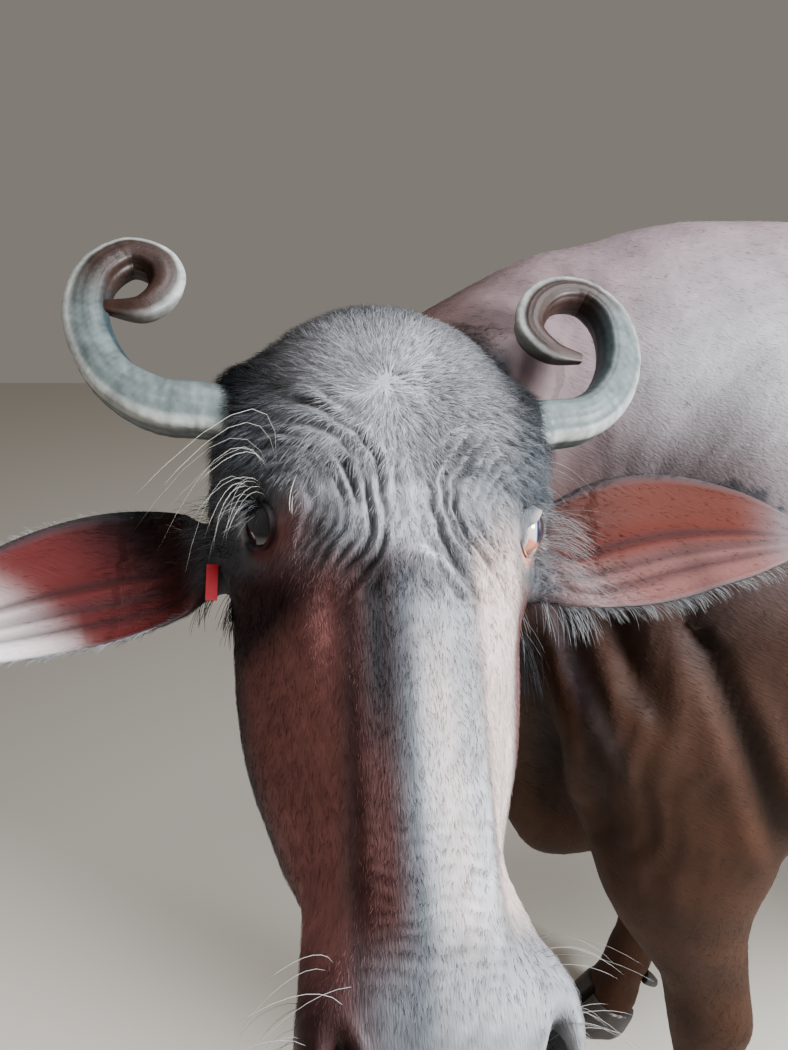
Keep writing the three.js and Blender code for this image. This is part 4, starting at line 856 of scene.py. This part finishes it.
def add_colours(thing, colours):
    layer = thing.data.color_attributes.new("tone", "FLOAT_COLOR", "POINT")
    values = np.ones((len(colours), 4), dtype=np.float32)
    values[:, :3] = colours
    layer.data.foreach_set("color", values.ravel())


def attribute_node(nodes, name):
    made = nodes.new("ShaderNodeAttribute")
    made.attribute_name = name
    return made


def add_bump(nodes, links, shader, height, strength, distance):
    bump = nodes.new("ShaderNodeBump")
    bump.inputs["Strength"].default_value = strength
    bump.inputs["Distance"].default_value = distance
    links.new(height, bump.inputs["Height"])
    links.new(bump.outputs["Normal"], shader.inputs["Normal"])


def dress(thing, material, slot, *replaced):
    thing.data.materials.clear()
    thing.data.materials.append(material)
    select(thing)
    bpy.ops.object.shade_smooth()
    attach(thing, "root")
    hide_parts(*replaced)


h, b = to_head(points), to_body(points)
hide_points, hide_normals = points, normals_of(skin)
# The creases and the nostrils' hollows are darkened: partly dirt, partly painted shade.
hide_tones = hide_colours(points, hide_normals) * (1 - 0.72 * np.clip(crease_dirt_and_shade, 0, 1))[:, None]
add_colours(skin, hide_tones)
near_head = on_head(points)[:, None]
down_back = np.array([[0.9, 0, -0.4], [0, 1, 0], [0.4, 0, 0.9]])
lie = np.where(near_head, h / np.array([1.1, 9, 1.1]), b @ down_back.T / np.array([14, 2, 2]))
layer = skin.data.attributes.new("lie", "FLOAT_VECTOR", "POINT")
layer.data.foreach_set("vector", lie.astype(np.float32).ravel())
wet = ramp(h[:, 1], 262, 312) * near_head[:, 0]
layer = skin.data.attributes.new("wet", "FLOAT", "POINT")
layer.data.foreach_set("value", wet.astype(np.float32))

hide, nodes, links, shader = new_material("hide")
links.new(attribute_node(nodes, "tone").outputs["Color"], shader.inputs["Base Color"])
gloss = nodes.new("ShaderNodeMapRange")
gloss.inputs["To Min"].default_value = 0.62
gloss.inputs["To Max"].default_value = 0.26
links.new(attribute_node(nodes, "wet").outputs["Fac"], gloss.inputs["Value"])
links.new(gloss.outputs["Result"], shader.inputs["Roughness"])
shader.inputs["Specular IOR Level"].default_value = 0.1
streaks = nodes.new("ShaderNodeTexNoise")
streaks.inputs["Scale"].default_value = 1.0
streaks.inputs["Detail"].default_value = 3.0
links.new(attribute_node(nodes, "lie").outputs["Vector"], streaks.inputs["Vector"])
add_bump(nodes, links, shader, streaks.outputs["Fac"], 0.55, 0.0012)
dress(skin, hide, "head_hide", *FLESH, "ear_left", "ear_right", "tail")

# Horns: hard sheaths grown over bone, flat and ringed at the root, that curl up to a brown tip.
# Each is lofted along its middle line, with a ridge, growth rings across it and fine strands along it.
# A thin pale line on the ridge's crest is a painted highlight.
# Each row: u, v and w of the middle line, then half thickness and half depth as shares of HORN_HALF.
HORN_HALF = 21.0
HORN_ROWS = {
    "left": [
        (92, -92, -18, 0.98, 1.05),
        (126, -101, -16, 0.93, 1.12),
        (162, -109, -15, 0.86, 1.12),
        (190, -134, -14, 0.8, 1.08),
        (208, -174, -14, 0.76, 1.0),
        (210, -217, -15, 0.7, 0.92),
        (193, -243, -16, 0.64, 0.84),
        (166, -244, -16, 0.66, 0.8),
        (143, -226, -15, 0.66, 0.76),
        (133, -198, -14, 0.6, 0.68),
        (147, -176, -12, 0.48, 0.54),
        (173, -170, -11, 0.24, 0.26),
    ],
    "right": [
        (92, -90, -18, 0.98, 1.05),
        (133, -94, -16, 0.95, 1.12),
        (164, -95, -15, 0.9, 1.12),
        (194, -112, -14, 0.82, 1.04),
        (212, -141, -14, 0.76, 0.94),
        (221, -176, -15, 0.72, 0.88),
        (216, -213, -16, 0.68, 0.84),
        (196, -235, -16, 0.64, 0.8),
        (173, -228, -15, 0.64, 0.76),
        (167, -205, -14, 0.62, 0.7),
        (182, -182, -12, 0.5, 0.56),
        (210, -180, -11, 0.26, 0.28),
    ],
}
HORN_RINGS = 300
HORN_SIDES = 48
HORN_RIDGE = 0.45  # how far the ridge is turned from the outer side to the front
HORN_GREEN = (0.090, 0.112, 0.112)
HORN_TEAL = (0.020, 0.034, 0.040)
HORN_BROWN = (0.022, 0.009, 0.006)
HORN_PALE = (0.330, 0.345, 0.325)


def growth_rings(share, draw):
    found = np.zeros(len(share))
    place = 0.02
    while place < 0.62:
        found -= draw.uniform(0.12, 0.45) * bell(share - place, 0.007)
        place += draw.uniform(0.016, 0.05) * (0.6 + place)
    return found


def horn_mesh(side, way, share, turn):
    rows = HORN_ROWS[side]
    row, line = along_rows(rows, share * (len(rows) - 1), 0.02)
    outer = unit(np.cross(np.array([0, 0, 1.0]), line))
    front = np.cross(line, outer)
    from_ridge = np.arctan2(np.sin(turn - HORN_RIDGE), np.cos(turn - HORN_RIDGE))
    edge = 1 + 0.24 * bell(from_ridge, 0.3) - 0.1 * bell(from_ridge - 0.95, 0.5)
    edge -= 0.05 * bell(from_ridge + 0.9, 0.4)
    draw = np.random.default_rng(5 + way)
    growth = growth_rings(share, draw)[:, None] * (0.7 + 0.3 * np.cos(turn - HORN_RIDGE))
    strands = sum(draw.uniform(0.08, 0.22) * np.sin(turn * k + draw.uniform(0, 6.28)) for k in range(5, 19))
    relief = growth + strands * (1 - ramp(share, 0.7, 0.95))[:, None] - 0.4
    across = np.cos(turn) * (HORN_HALF * row[:, 3:4] * edge + relief)
    along = np.sin(turn) * (HORN_HALF * row[:, 4:5] * edge + relief)
    rings = row[:, None, :3] + outer[:, None] * across[..., None] + front[:, None] * along[..., None]
    return loft("horn_" + side, rings, way)


def horn_colours(places, side, share, turn):
    ridge = np.cos(turn - HORN_RIDGE)
    layers = [
        (HORN_GREEN, ramp(np.cos(turn - 0.9), -0.3, 0.6)),
        # Paler on the outer side from the middle of the horn on.
        (HORN_PALE, 0.75 * ramp(np.cos(turn + 0.1), 0.3, 0.9) * ramp(share, 0.34, 0.5)),
        (HORN_BROWN, 0.95 * ramp(np.sin(turn - HORN_RIDGE - 0.2), 0.02, 0.3) * ramp(share, 0.38, 0.56)),
        (HORN_BROWN, ramp(share - 0.1 * ridge, 0.7, 0.88)),
        # Painted highlight: a thin pale line along the ridge's crest.
        (HORN_PALE, 0.9 * ramp(ridge, 0.96, 0.998) * (1 - ramp(share, 0.78, 0.9))),
    ]
    if side == "left":
        # A pale band on one side near the left horn's root.
        pale_root = (1 - ramp(abs(share - 0.085), 0.015, 0.035)) * ramp(np.cos(turn + 1.2), -0.2, 0.6)
        layers.append((HORN_PALE, pale_root))
    mottle = 1 + waves(places, 22, 41) * 0.2 + waves(places, 7, 42) * 0.16
    return np.clip(painted(HORN_TEAL, len(places), layers) * mottle[:, None], 0.004, 0.9)


def grain_node(nodes, links, kind, scale):
    """A texture node that reads the place on the piece."""
    made = nodes.new(kind)
    made.inputs["Scale"].default_value = scale
    links.new(nodes.new("ShaderNodeTexCoord").outputs["Object"], made.inputs["Vector"])
    return made


horn_skin, nodes, links, shader = new_material("horn", roughness=0.46)
links.new(attribute_node(nodes, "tone").outputs["Color"], shader.inputs["Base Color"])
shader.inputs["Specular IOR Level"].default_value = 0.3
grain = grain_node(nodes, links, "ShaderNodeTexNoise", 420)
grain.inputs["Detail"].default_value = 3
add_bump(nodes, links, shader, grain.outputs["Fac"], 0.25, 0.0008)
for side, way in SIDES:
    share = np.linspace(0, 1, HORN_RINGS)
    turn = np.linspace(0, 2 * math.pi, HORN_SIDES, endpoint=False)
    horn = horn_mesh(side, way, share, turn)
    share = np.append(np.repeat(share, HORN_SIDES), [0, 1])
    turn = np.append(np.tile(turn, HORN_RINGS), [0, 0])
    add_colours(horn, horn_colours(to_head(points_of(horn)), side, share, turn))
    dress(horn, horn_skin, "horn", "horn_" + side)

# Eyes: wet, glossy balls that sit in the sockets, half covered by the lids.
# Each has a wide dark pupil, a dark blue iris, a pale white and a pink or dark inner corner.
# The left eye looks further out than the right, so that its white shows.
GAZE = {"left": (0.967, 0.088, 0.244), "right": (0.66, 0.3, 0.68)}
EYE_RINGS = (  # how far each place faces the gaze, and its colour
    (0.00, (0.420, 0.300, 0.220)),
    (0.30, (0.560, 0.460, 0.420)),
    (0.60, (0.540, 0.490, 0.500)),
    (0.64, (0.012, 0.020, 0.050)),
    (0.70, (0.010, 0.016, 0.040)),
    (0.82, (0.010, 0.008, 0.008)),
    (0.88, (0.004, 0.005, 0.010)),
    (1.00, (0.004, 0.005, 0.010)),
)
EYE_CORNER = {  # where the inner corner starts and is full along the lids' slit, and its colour
    "left": (0.1, 0.22, (0.5, 0.14, 0.08)),
    "right": (0.8, 0.9, (0.08, 0.03, 0.03)),
}


def eyeball(side, way):
    centre = from_head(mirrored(EYE_PLACE[side], way))
    radius = EYE_RADIUS / 1000
    bpy.ops.object.select_all(action="DESELECT")
    bpy.ops.mesh.primitive_uv_sphere_add(segments=64, ring_count=40, radius=radius, location=centre)
    ball = bpy.context.object
    ball.name = "eye_" + side
    bpy.ops.object.transform_apply(location=True, rotation=True, scale=True)
    paint, nodes, links, shader = new_material("eye_" + side, roughness=0.06)
    offset = nodes.new("ShaderNodeVectorMath")
    offset.operation = "SUBTRACT"
    offset.inputs[1].default_value = centre
    links.new(nodes.new("ShaderNodeTexCoord").outputs["Object"], offset.inputs[0])

    def part_along(direction):
        """How far each place lies along a direction of the head, as a share of the ball's radius."""
        part = nodes.new("ShaderNodeVectorMath")
        part.operation = "DOT_PRODUCT"
        part.inputs[1].default_value = direction @ TURN / radius
        links.new(offset.outputs["Vector"], part.inputs[0])
        return part.outputs["Value"]

    rings = nodes.new("ShaderNodeValToRGB")
    steps = rings.color_ramp.elements
    for place, colour in EYE_RINGS[1:-1]:
        steps.new(place)
    for step, (place, colour) in zip(steps, EYE_RINGS):
        step.color = (*colour, 1)
    links.new(part_along(unit(mirrored(GAZE[side], way))), rings.inputs["Fac"])
    start, full, colour = EYE_CORNER[side]
    corner = nodes.new("ShaderNodeMapRange")
    corner.inputs["From Min"].default_value = start
    corner.inputs["From Max"].default_value = full
    links.new(part_along(lid_axes(side, way)[1]), corner.inputs["Value"])
    blend = nodes.new("ShaderNodeMix")
    blend.data_type = "RGBA"
    blend.inputs[7].default_value = (*colour, 1)
    links.new(corner.outputs["Result"], blend.inputs[0])
    links.new(rings.outputs["Color"], blend.inputs[6])
    links.new(blend.outputs[2], shader.inputs["Base Color"])
    shader.inputs["Coat Weight"].default_value = 1.0
    shader.inputs["Coat Roughness"].default_value = 0.03
    dress(ball, paint, "eye", "eye_" + side)


for side, way in SIDES:
    eyeball(side, way)

# Claws and dewclaws: two horn shoes on each foot and two stubs behind it, dark, with fine rings.
# Each is a copy of its solid with even cells and worn edges.
CLAW_CELL = {"claw_": 0.0035, "dewclaw_": 0.002}
claw_skin, nodes, links, shader = new_material("claw", (0.028, 0.022, 0.02), 0.42)
grain = grain_node(nodes, links, "ShaderNodeTexWave", 90)
grain.wave_type = "BANDS"
grain.bands_direction = "Z"
grain.inputs["Distortion"].default_value = 4
add_bump(nodes, links, shader, grain.outputs["Fac"], 0.3, 0.001)
for leg in LEGS:
    for part in ("_outer", "_inner"):
        for kind, cell in CLAW_CELL.items():
            node = kind + leg + part
            claw = copy_of([node], "horn_of_" + node)
            voxels(claw, cell)
            relax(claw, 8)
            dress(claw, claw_skin, "claw", node)

# Red strip: a short plain strip that hangs below the root of the right ear.
# Its solid is kept as it is, and only gets its colour.
strip = frame["nodes"]["ear_strip_red"]
strip.data.materials.clear()
strip.data.materials.append(new_material("red_strip", (0.55, 0.012, 0.03), 0.6)[0])

# Coat: thin bent tufts of hair, each a closed three-sided blade, that lie along the hide and overlap.
# They are short on the face, longer on the poll and the neck, and sparse on the trunk and the legs.
# On the head they run away from a whorl on the forehead, and behind it back and down.
COAT_COUNT = 19500  # tufts in one piece
POLL_COUNT = 16000
WHORL = np.array([-15.0, -70.0, 44.0])
BARREL_HEIGHT = 960
HEAD_PLAN = (0.02, 0.53, 0.44)  # left, bottom and size of the head's field of the plan
LEG_PLAN = 0.71  # left of the first leg's field, and each next one stands 0.07 further right
EAR_PLAN = {"left": 0.5, "right": 0.6}
LEG_REACH = ((250, 560, -1), (250, 560, 1), (1180, 1620, -1), (1180, 1620, 1))  # start, end and way


def on_ear(h, way):
    return (h[:, 0] * way > 112) & (abs(h[:, 1]) < 110) & (h[:, 2] > -160)


def unwrap(points):
    """Places on a flat plan of the hide: head, trunk, four legs and two ears, each in its own field."""
    h, b = to_head(points), to_body(points)
    x, y, z = b.T
    left, bottom, size = HEAD_PLAN
    turn = np.arctan2(h[:, 0], h[:, 2] + 70) / (2 * math.pi) + 0.5
    plan = np.stack([left + size * turn, bottom + size * np.clip((h[:, 1] + 260) / 640, 0, 1)], 1)
    around = np.arctan2(y, z - BARREL_HEIGHT) / (2 * math.pi) + 0.5
    trunk = np.stack([0.02 + 0.96 * np.clip((x + 120) / 1760, 0, 1), 0.03 + 0.44 * around], 1)
    plan = np.where(on_head(points)[:, None], plan, trunk)
    for side, way in SIDES:
        across = EAR_PLAN[side] + 0.0004 * (h[:, 1] + 110).clip(0, 220)
        ear = np.stack([across, bottom + 0.0017 * (h[:, 0] * way - 110)], 1)
        plan = np.where(on_ear(h, way)[:, None], ear, plan)
    for i, (low, high, way) in enumerate(LEG_REACH):
        on = (z < 620) & (x > low) & (x < high) & (y * way > 0) & ~on_head(points)
        middle_x = (x * on).sum() / max(on.sum(), 1)
        round_leg = np.arctan2(y - 160 * way, x - middle_x) / (2 * math.pi) + 0.5
        leg = np.stack([LEG_PLAN + 0.07 * i + 0.06 * round_leg, bottom + size * np.clip(z / 620, 0, 1)], 1)
        plan = np.where(on[:, None], leg, plan)
    return plan


def coat_ways(points, normals):
    """The way that the hair lies at each place."""
    h, b = to_head(points), to_body(points)
    on_face = unit((h - WHORL) * np.array([1, 1, 0.8]) + np.array([0, 14.0, 0])) @ TURN
    down = ramp(-b[:, 2], -760, -560)[:, None]
    on_body = unit(np.array([0.9, 0, -0.42]) * (1 - down) + np.array([0.08, 0, -1.0]) * down)
    share = ramp(np.minimum(before_neck(h), h[:, 1] + 240), -60, 60) * (abs(h[:, 0]) < 190)
    ways = unit(on_body * (1 - share[:, None]) + on_face * share[:, None])
    for side, way in SIDES:
        ways = np.where(on_ear(h, way)[:, None], unit(np.array([0.9 * way, 0.25, 0])) @ TURN, ways)
    on_tail = (b[:, 0] > 1480) & (abs(b[:, 1]) < 60)
    ways = np.where(on_tail[:, None], np.array([0, 0, -1.0]), ways)
    return unit(ways - normals * dots(ways, normals)[:, None])


def roots_on_hide(count, density, seed):
    """Random places on the hide with their normals, thicker where the density is higher."""
    draw = np.random.default_rng(seed)
    mesh = skin.data
    mesh.calc_loop_triangles()
    corners = rows_of(mesh.loop_triangles, "vertices", 3, np.int32)
    first, second, third = (hide_points[corners[:, i]] for i in range(3))
    area = np.linalg.norm(np.cross(second - first, third - first), axis=1)
    weight = area * np.clip(density[corners].mean(1), 0, None)
    chosen = corners[draw.choice(len(corners), count, p=weight / weight.sum())]
    far, turn = np.sqrt(draw.random(count)), draw.random(count)
    shares = np.stack([1 - far, far * (1 - turn), far * turn], 1)
    places, normals, tones = (
        np.einsum("ij,ijk->ik", shares, values[chosen]) for values in (hide_points, hide_normals, hide_tones)
    )
    return places, unit(normals), tones


def blade_faces(joints, blade):
    """The triangles of one blade: its foot, its three walls and its tip, turned outwards."""
    faces = [(0, 2, 1)]
    for k in range(joints):
        for i in range(3):
            here, beside = 3 * k + i, 3 * k + (i + 1) % 3
            faces += [(here, beside, beside + 3), (here, beside + 3, here + 3)]
    for i in range(3):
        faces.append((3 * joints + i, 3 * joints + (i + 1) % 3, len(blade) - 1))
    faces = np.array(faces)
    corner = blade[faces] - blade.mean(0)
    outward = np.cross(corner[:, 1] - corner[:, 0], corner[:, 2] - corner[:, 0])
    return faces[:, ::-1] if dots(corner[:, 0], outward).sum() < 0 else faces


def tufts(name, roots, normals, ways, length, half, rise, colours, joints=1, droop=0.0, pale_tip=1.25):
    """Joined closed blades. length and half are in millimetres, and rise is a share of the length."""
    count = len(roots)
    side = unit(np.cross(normals, ways))
    length, half = np.broadcast_to(length, count) / 1000, np.broadcast_to(half, count) / 1000
    rings = []
    for k in range(joints + 1):
        t = k / (joints + 1)
        lifted = rise * length * (2 * t - t * t * (1 + droop)) - (0.0006 if k == 0 else 0)
        centre = roots + ways * (length * t)[:, None] + normals * lifted[:, None]
        width = (half * (1 - 0.55 * t))[:, None]
        rings += [centre + side * width, centre - side * width, centre + normals * (width * 0.8)]
    rings.append(roots + ways * length[:, None] + normals * (rise * length * (1 - droop))[:, None])
    points = np.stack(rings, 1)
    each = points.shape[1]
    faces = blade_faces(joints, points[0])
    every = (faces[None] + (np.arange(count) * each)[:, None, None]).reshape(-1, 3)
    made = mesh_of(name, points.reshape(-1, 3), every)
    tone = np.append(np.repeat(np.linspace(0.8, 1.1, joints + 1), 3), pale_tip)
    add_colours(made, np.clip(colours[:, None] * tone[None, :, None], 0.003, 0.95).reshape(-1, 3))
    patch = np.stack([np.linspace(-0.0015, 0.0015, each), np.resize([-0.0015, 0.0015, 0], each)], 1)
    plan = (unwrap(roots)[:, None] + patch[None]).reshape(-1, 2)
    layer = made.data.uv_layers.new(name="OFBake")
    layer.data.foreach_set("uv", plan[every.ravel()].astype(np.float32).ravel())
    return made


def coat(name, count, density, length, half, rise, seed, spread=0.26, pale_tip=1.25, slot="head_hide"):
    draw = np.random.default_rng(seed)
    roots, normals, tones = roots_on_hide(count, density, seed)
    ways = coat_ways(roots, normals)
    angle = (0.35 * waves(roots * 1000, 22, seed) + draw.normal(0, 0.16, count))[:, None]
    ways = ways * np.cos(angle) + np.cross(normals, ways) * np.sin(angle)
    colours = tones * np.exp(draw.normal(0, spread, count))[:, None]
    size = draw.uniform(0.7, 1.3, count)
    rise = rise * draw.uniform(0.5, 1.5, count)
    made = tufts(name, roots, normals, ways, length * size, half, rise, colours, pale_tip=pale_tip)
    dress(made, hair, slot)


hair, nodes, links, shader = new_material("hair", roughness=0.55)
links.new(attribute_node(nodes, "tone").outputs["Color"], shader.inputs["Base Color"])
shader.inputs["Specular IOR Level"].default_value = 0.12

u, v, w = h.T
x, y, z = b.T
out = abs(u)
face = on_head(hide_points) & (out < 128)
off_eyes = ramp(np.hypot(out - 98, v - 3), 16, 24)
off_mouth = 1 - ramp(v, 262, 300)
folds = 1 - 0.75 * np.clip(crease_dirt_and_shade * 1.6, 0, 1)
coat("coat_face", COAT_COUNT, face * off_eyes * off_mouth * (v > 10), 7, 0.2, 0.08, 61)
coat("coat_brow", COAT_COUNT, face * off_eyes * folds * (v < 60), 9.5, 0.2, 0.12, 62)
coat("coat_poll", POLL_COUNT, face * folds * (v < -20) * ramp(w, -60, 0), 15, 0.22, 0.16, 63)
ears = np.zeros(len(h))
for side, way in SIDES:
    on, along, t, facing = ear_places(hide_points, hide_normals, side, way)
    ears += on * (1 - 0.95 * ramp(facing, -0.1, 0.2) * ramp(along, 0.2, 0.5))
coat("coat_ears", COAT_COUNT, ears, 8, 0.16, 0.12, 64)
body = ~on_head(hide_points) * ramp(z, 60, 110) * (ears == 0)
coat("coat_neck", COAT_COUNT, body * (x < 520), 12, 0.17, 0.05, 65, 0.14, 1.05, "body_hide")
coat("coat_trunk", COAT_COUNT, body * (x > 480) * (z > 640), 14, 0.2, 0.05, 66, 0.14, 1.05, "body_hide")
coat("coat_legs", COAT_COUNT, body * (z < 700), 10, 0.2, 0.06, 67, 0.14, 1.05, "body_hide")

# Long hairs: stiff single hairs at the brows, lids, lips and chin, and the ears' tufts and fringes.
# They are bent blades too, with more joints, and hang by their own weight.
# Each group: root and its scatter, starting way, number, length, half width, droop and colour.
HAIR_PALE = (0.55, 0.54, 0.50)
HAIR_DULL = (0.34, 0.34, 0.33)
HAIR_GREY = (0.20, 0.21, 0.22)
HAIR_BLACK = (0.012, 0.012, 0.014)
BROW_HAIRS = (
    ((-80, -32, 6), (14, 8, 3), (-0.85, 0.12, 0.5), 6, 78, 0.24, 0.62, HAIR_PALE),
    ((-94, -20, -2), (8, 6, 3), (-0.8, 0.5, 0.4), 9, 54, 0.2, 0.5, HAIR_PALE),
    ((-102, -12, -8), (8, 6, 3), (-0.8, 0.5, 0.4), 18, 26, 0.18, 0.2, HAIR_GREY),
    ((-70, 2, 8), (4, 4, 2), (0.1, -0.8, 0.6), 2, 34, 0.24, 0.3, HAIR_PALE),
    ((100, -36, 0), (12, 10, 3), (0.85, 0.1, 0.5), 6, 40, 0.18, 0.5, HAIR_GREY),
    ((106, -18, -12), (10, 8, 3), (0.85, 0.3, 0.4), 24, 24, 0.17, 0.24, HAIR_GREY),
    ((108, 12, -20), (8, 8, 3), (0.85, 0.5, 0.2), 16, 20, 0.18, 0.2, HAIR_GREY),
)
WHISKERS = (
    ((-52, 285, -18), (14, 20, 10), (-0.9, 0.1, 0.35), 8, 56, 0.2, 0.22, HAIR_DULL),
    ((-60, 300, -60), (12, 24, 14), (-0.9, 0.35, 0.1), 14, 44, 0.19, 0.2, HAIR_DULL),
    ((66, 280, -22), (12, 26, 12), (0.9, 0.05, 0.35), 11, 56, 0.2, 0.22, HAIR_DULL),
    ((72, 300, -60), (12, 26, 14), (0.9, 0.3, 0.1), 16, 48, 0.19, 0.2, HAIR_DULL),
    ((8, 300, -110), (40, 26, 8), (0.0, 0.5, -0.8), 60, 34, 0.28, 0.15, HAIR_GREY),
    ((8, 322, 6), (46, 10, 6), (0.0, 0.5, 0.8), 26, 16, 0.2, 0.15, HAIR_GREY),
)
EAR_HAIRS = (
    ((112, 40, -80), (10, 8, 10), (0.15, 0.95, -0.1), 90, 66, 0.24, 0.1, HAIR_BLACK),
    ((140, 42, -70), (26, 6, 10), (0.25, 0.9, 0.0), 80, 34, 0.2, 0.1, HAIR_GREY),
    ((-116, 30, -80), (12, 8, 10), (-0.3, 0.9, -0.2), 50, 26, 0.26, 0.1, HAIR_BLACK),
    ((128, -10, -40), (24, 24, 6), (0.9, 0.3, 0.4), 150, 44, 0.18, 0.18, HAIR_GREY),
    ((-126, -10, -40), (20, 22, 6), (-0.9, 0.2, 0.45), 70, 30, 0.24, 0.15, HAIR_BLACK),
    ((205, 52, -60), (60, 6, 8), (0.6, 0.8, 0.1), 150, 17, 0.17, 0.1, HAIR_GREY),
    ((280, 20, -50), (60, 10, 8), (0.75, 0.65, 0.1), 140, 15, 0.17, 0.1, HAIR_GREY),
    ((240, -88, -52), (90, 6, 6), (0.85, -0.4, 0.1), 160, 8, 0.18, 0.1, HAIR_BLACK),
    ((190, 20, -66), (40, 20, 4), (0.5, 0.7, 0.5), 40, 22, 0.14, 0.2, HAIR_GREY),
    ((-220, 70, -60), (70, 8, 8), (-0.8, 0.5, 0.1), 160, 10, 0.18, 0.1, HAIR_GREY),
    ((-230, -30, -60), (70, 8, 8), (-0.85, -0.4, 0.1), 120, 7, 0.12, 0.1, HAIR_DULL),
)


def long_hairs(name, groups, slot, seed):
    draw = np.random.default_rng(seed)
    tree = BVHTree.FromObject(skin, bpy.context.evaluated_depsgraph_get())
    parts = []
    for root, scatter, way, count, length, half, droop, colour in groups:
        roots = np.array(root) + draw.uniform(-1, 1, (count, 3)) * np.array(scatter)
        ways = unit(np.array(way, float) + draw.normal(0, 0.16, (count, 3)))
        lengths = length * draw.uniform(0.6, 1.1, count)
        droops = droop * draw.uniform(0.5, 1.5, count)
        colours = np.array(colour) * np.exp(draw.normal(0, 0.25, count))[:, None]
        parts.append((roots, ways, lengths, np.full(count, half), droops, colours))
    roots, ways, lengths, halves, droops, colours = (np.concatenate(part) for part in zip(*parts))
    roots = np.array([list(tree.find_nearest(Vector(place))[0]) for place in from_head(roots)])
    ways = ways @ TURN
    up = unit(np.array([0, 0, 1.0]) - ways * ways[:, 2:])
    made = tufts(name, roots, up, ways, lengths, halves, droops, colours, joints=6, droop=2.2, pale_tip=1.3)
    dress(made, hair, slot)


long_hairs("brow_hairs", BROW_HAIRS, "head_hide", 71)
long_hairs("whiskers", WHISKERS, "head_hide", 72)
long_hairs("ear_hairs", EAR_HAIRS, "ear_hide", 73)

# Tail switch: coarse black strands that hang from the last of the tail, bend and overlap.
# Their roots sit all round the tail's end, and the lower a root is, the shorter its strand.
TAIL_TIP = BODY + Vector((1.562, -0.004, 0.608))
SWITCH_COUNT = 1500


def switch_strands():
    draw = np.random.default_rng(81)
    turn = draw.uniform(0, 2 * math.pi, SWITCH_COUNT)
    down = draw.uniform(0, 1, SWITCH_COUNT)
    outward = np.stack([np.cos(turn), np.sin(turn), 0 * turn], 1)
    heights = np.array([0, 0, 0.04]) - np.array([0, 0, 0.125]) * down[:, None]
    roots = np.array(TAIL_TIP) + outward * (0.011 * (1 - 0.55 * down))[:, None] + heights
    ways = unit(outward * draw.uniform(0.04, 0.2, SWITCH_COUNT)[:, None] + np.array([0, 0, -1.0]))
    bend = np.stack([waves(roots * 1000, 18, 82), waves(roots * 1000, 18, 83), 0 * turn], 1)
    ways = unit(ways + 0.06 * bend)
    normals = unit(outward - ways * dots(outward, ways)[:, None])
    length = 232 - 85 * down - 50 * draw.random(SWITCH_COUNT) ** 2
    colours = np.array(HAIR_BLACK) * np.exp(draw.normal(0.2, 0.45, SWITCH_COUNT))[:, None]
    rise = draw.uniform(0.02, 0.12, SWITCH_COUNT)
    strands = tufts("switch", roots, normals, ways, length, 0.9, rise, colours, 6, 0.7, 1.5)
    dress(strands, hair, "tail_hair", "tail_switch")


switch_strands()
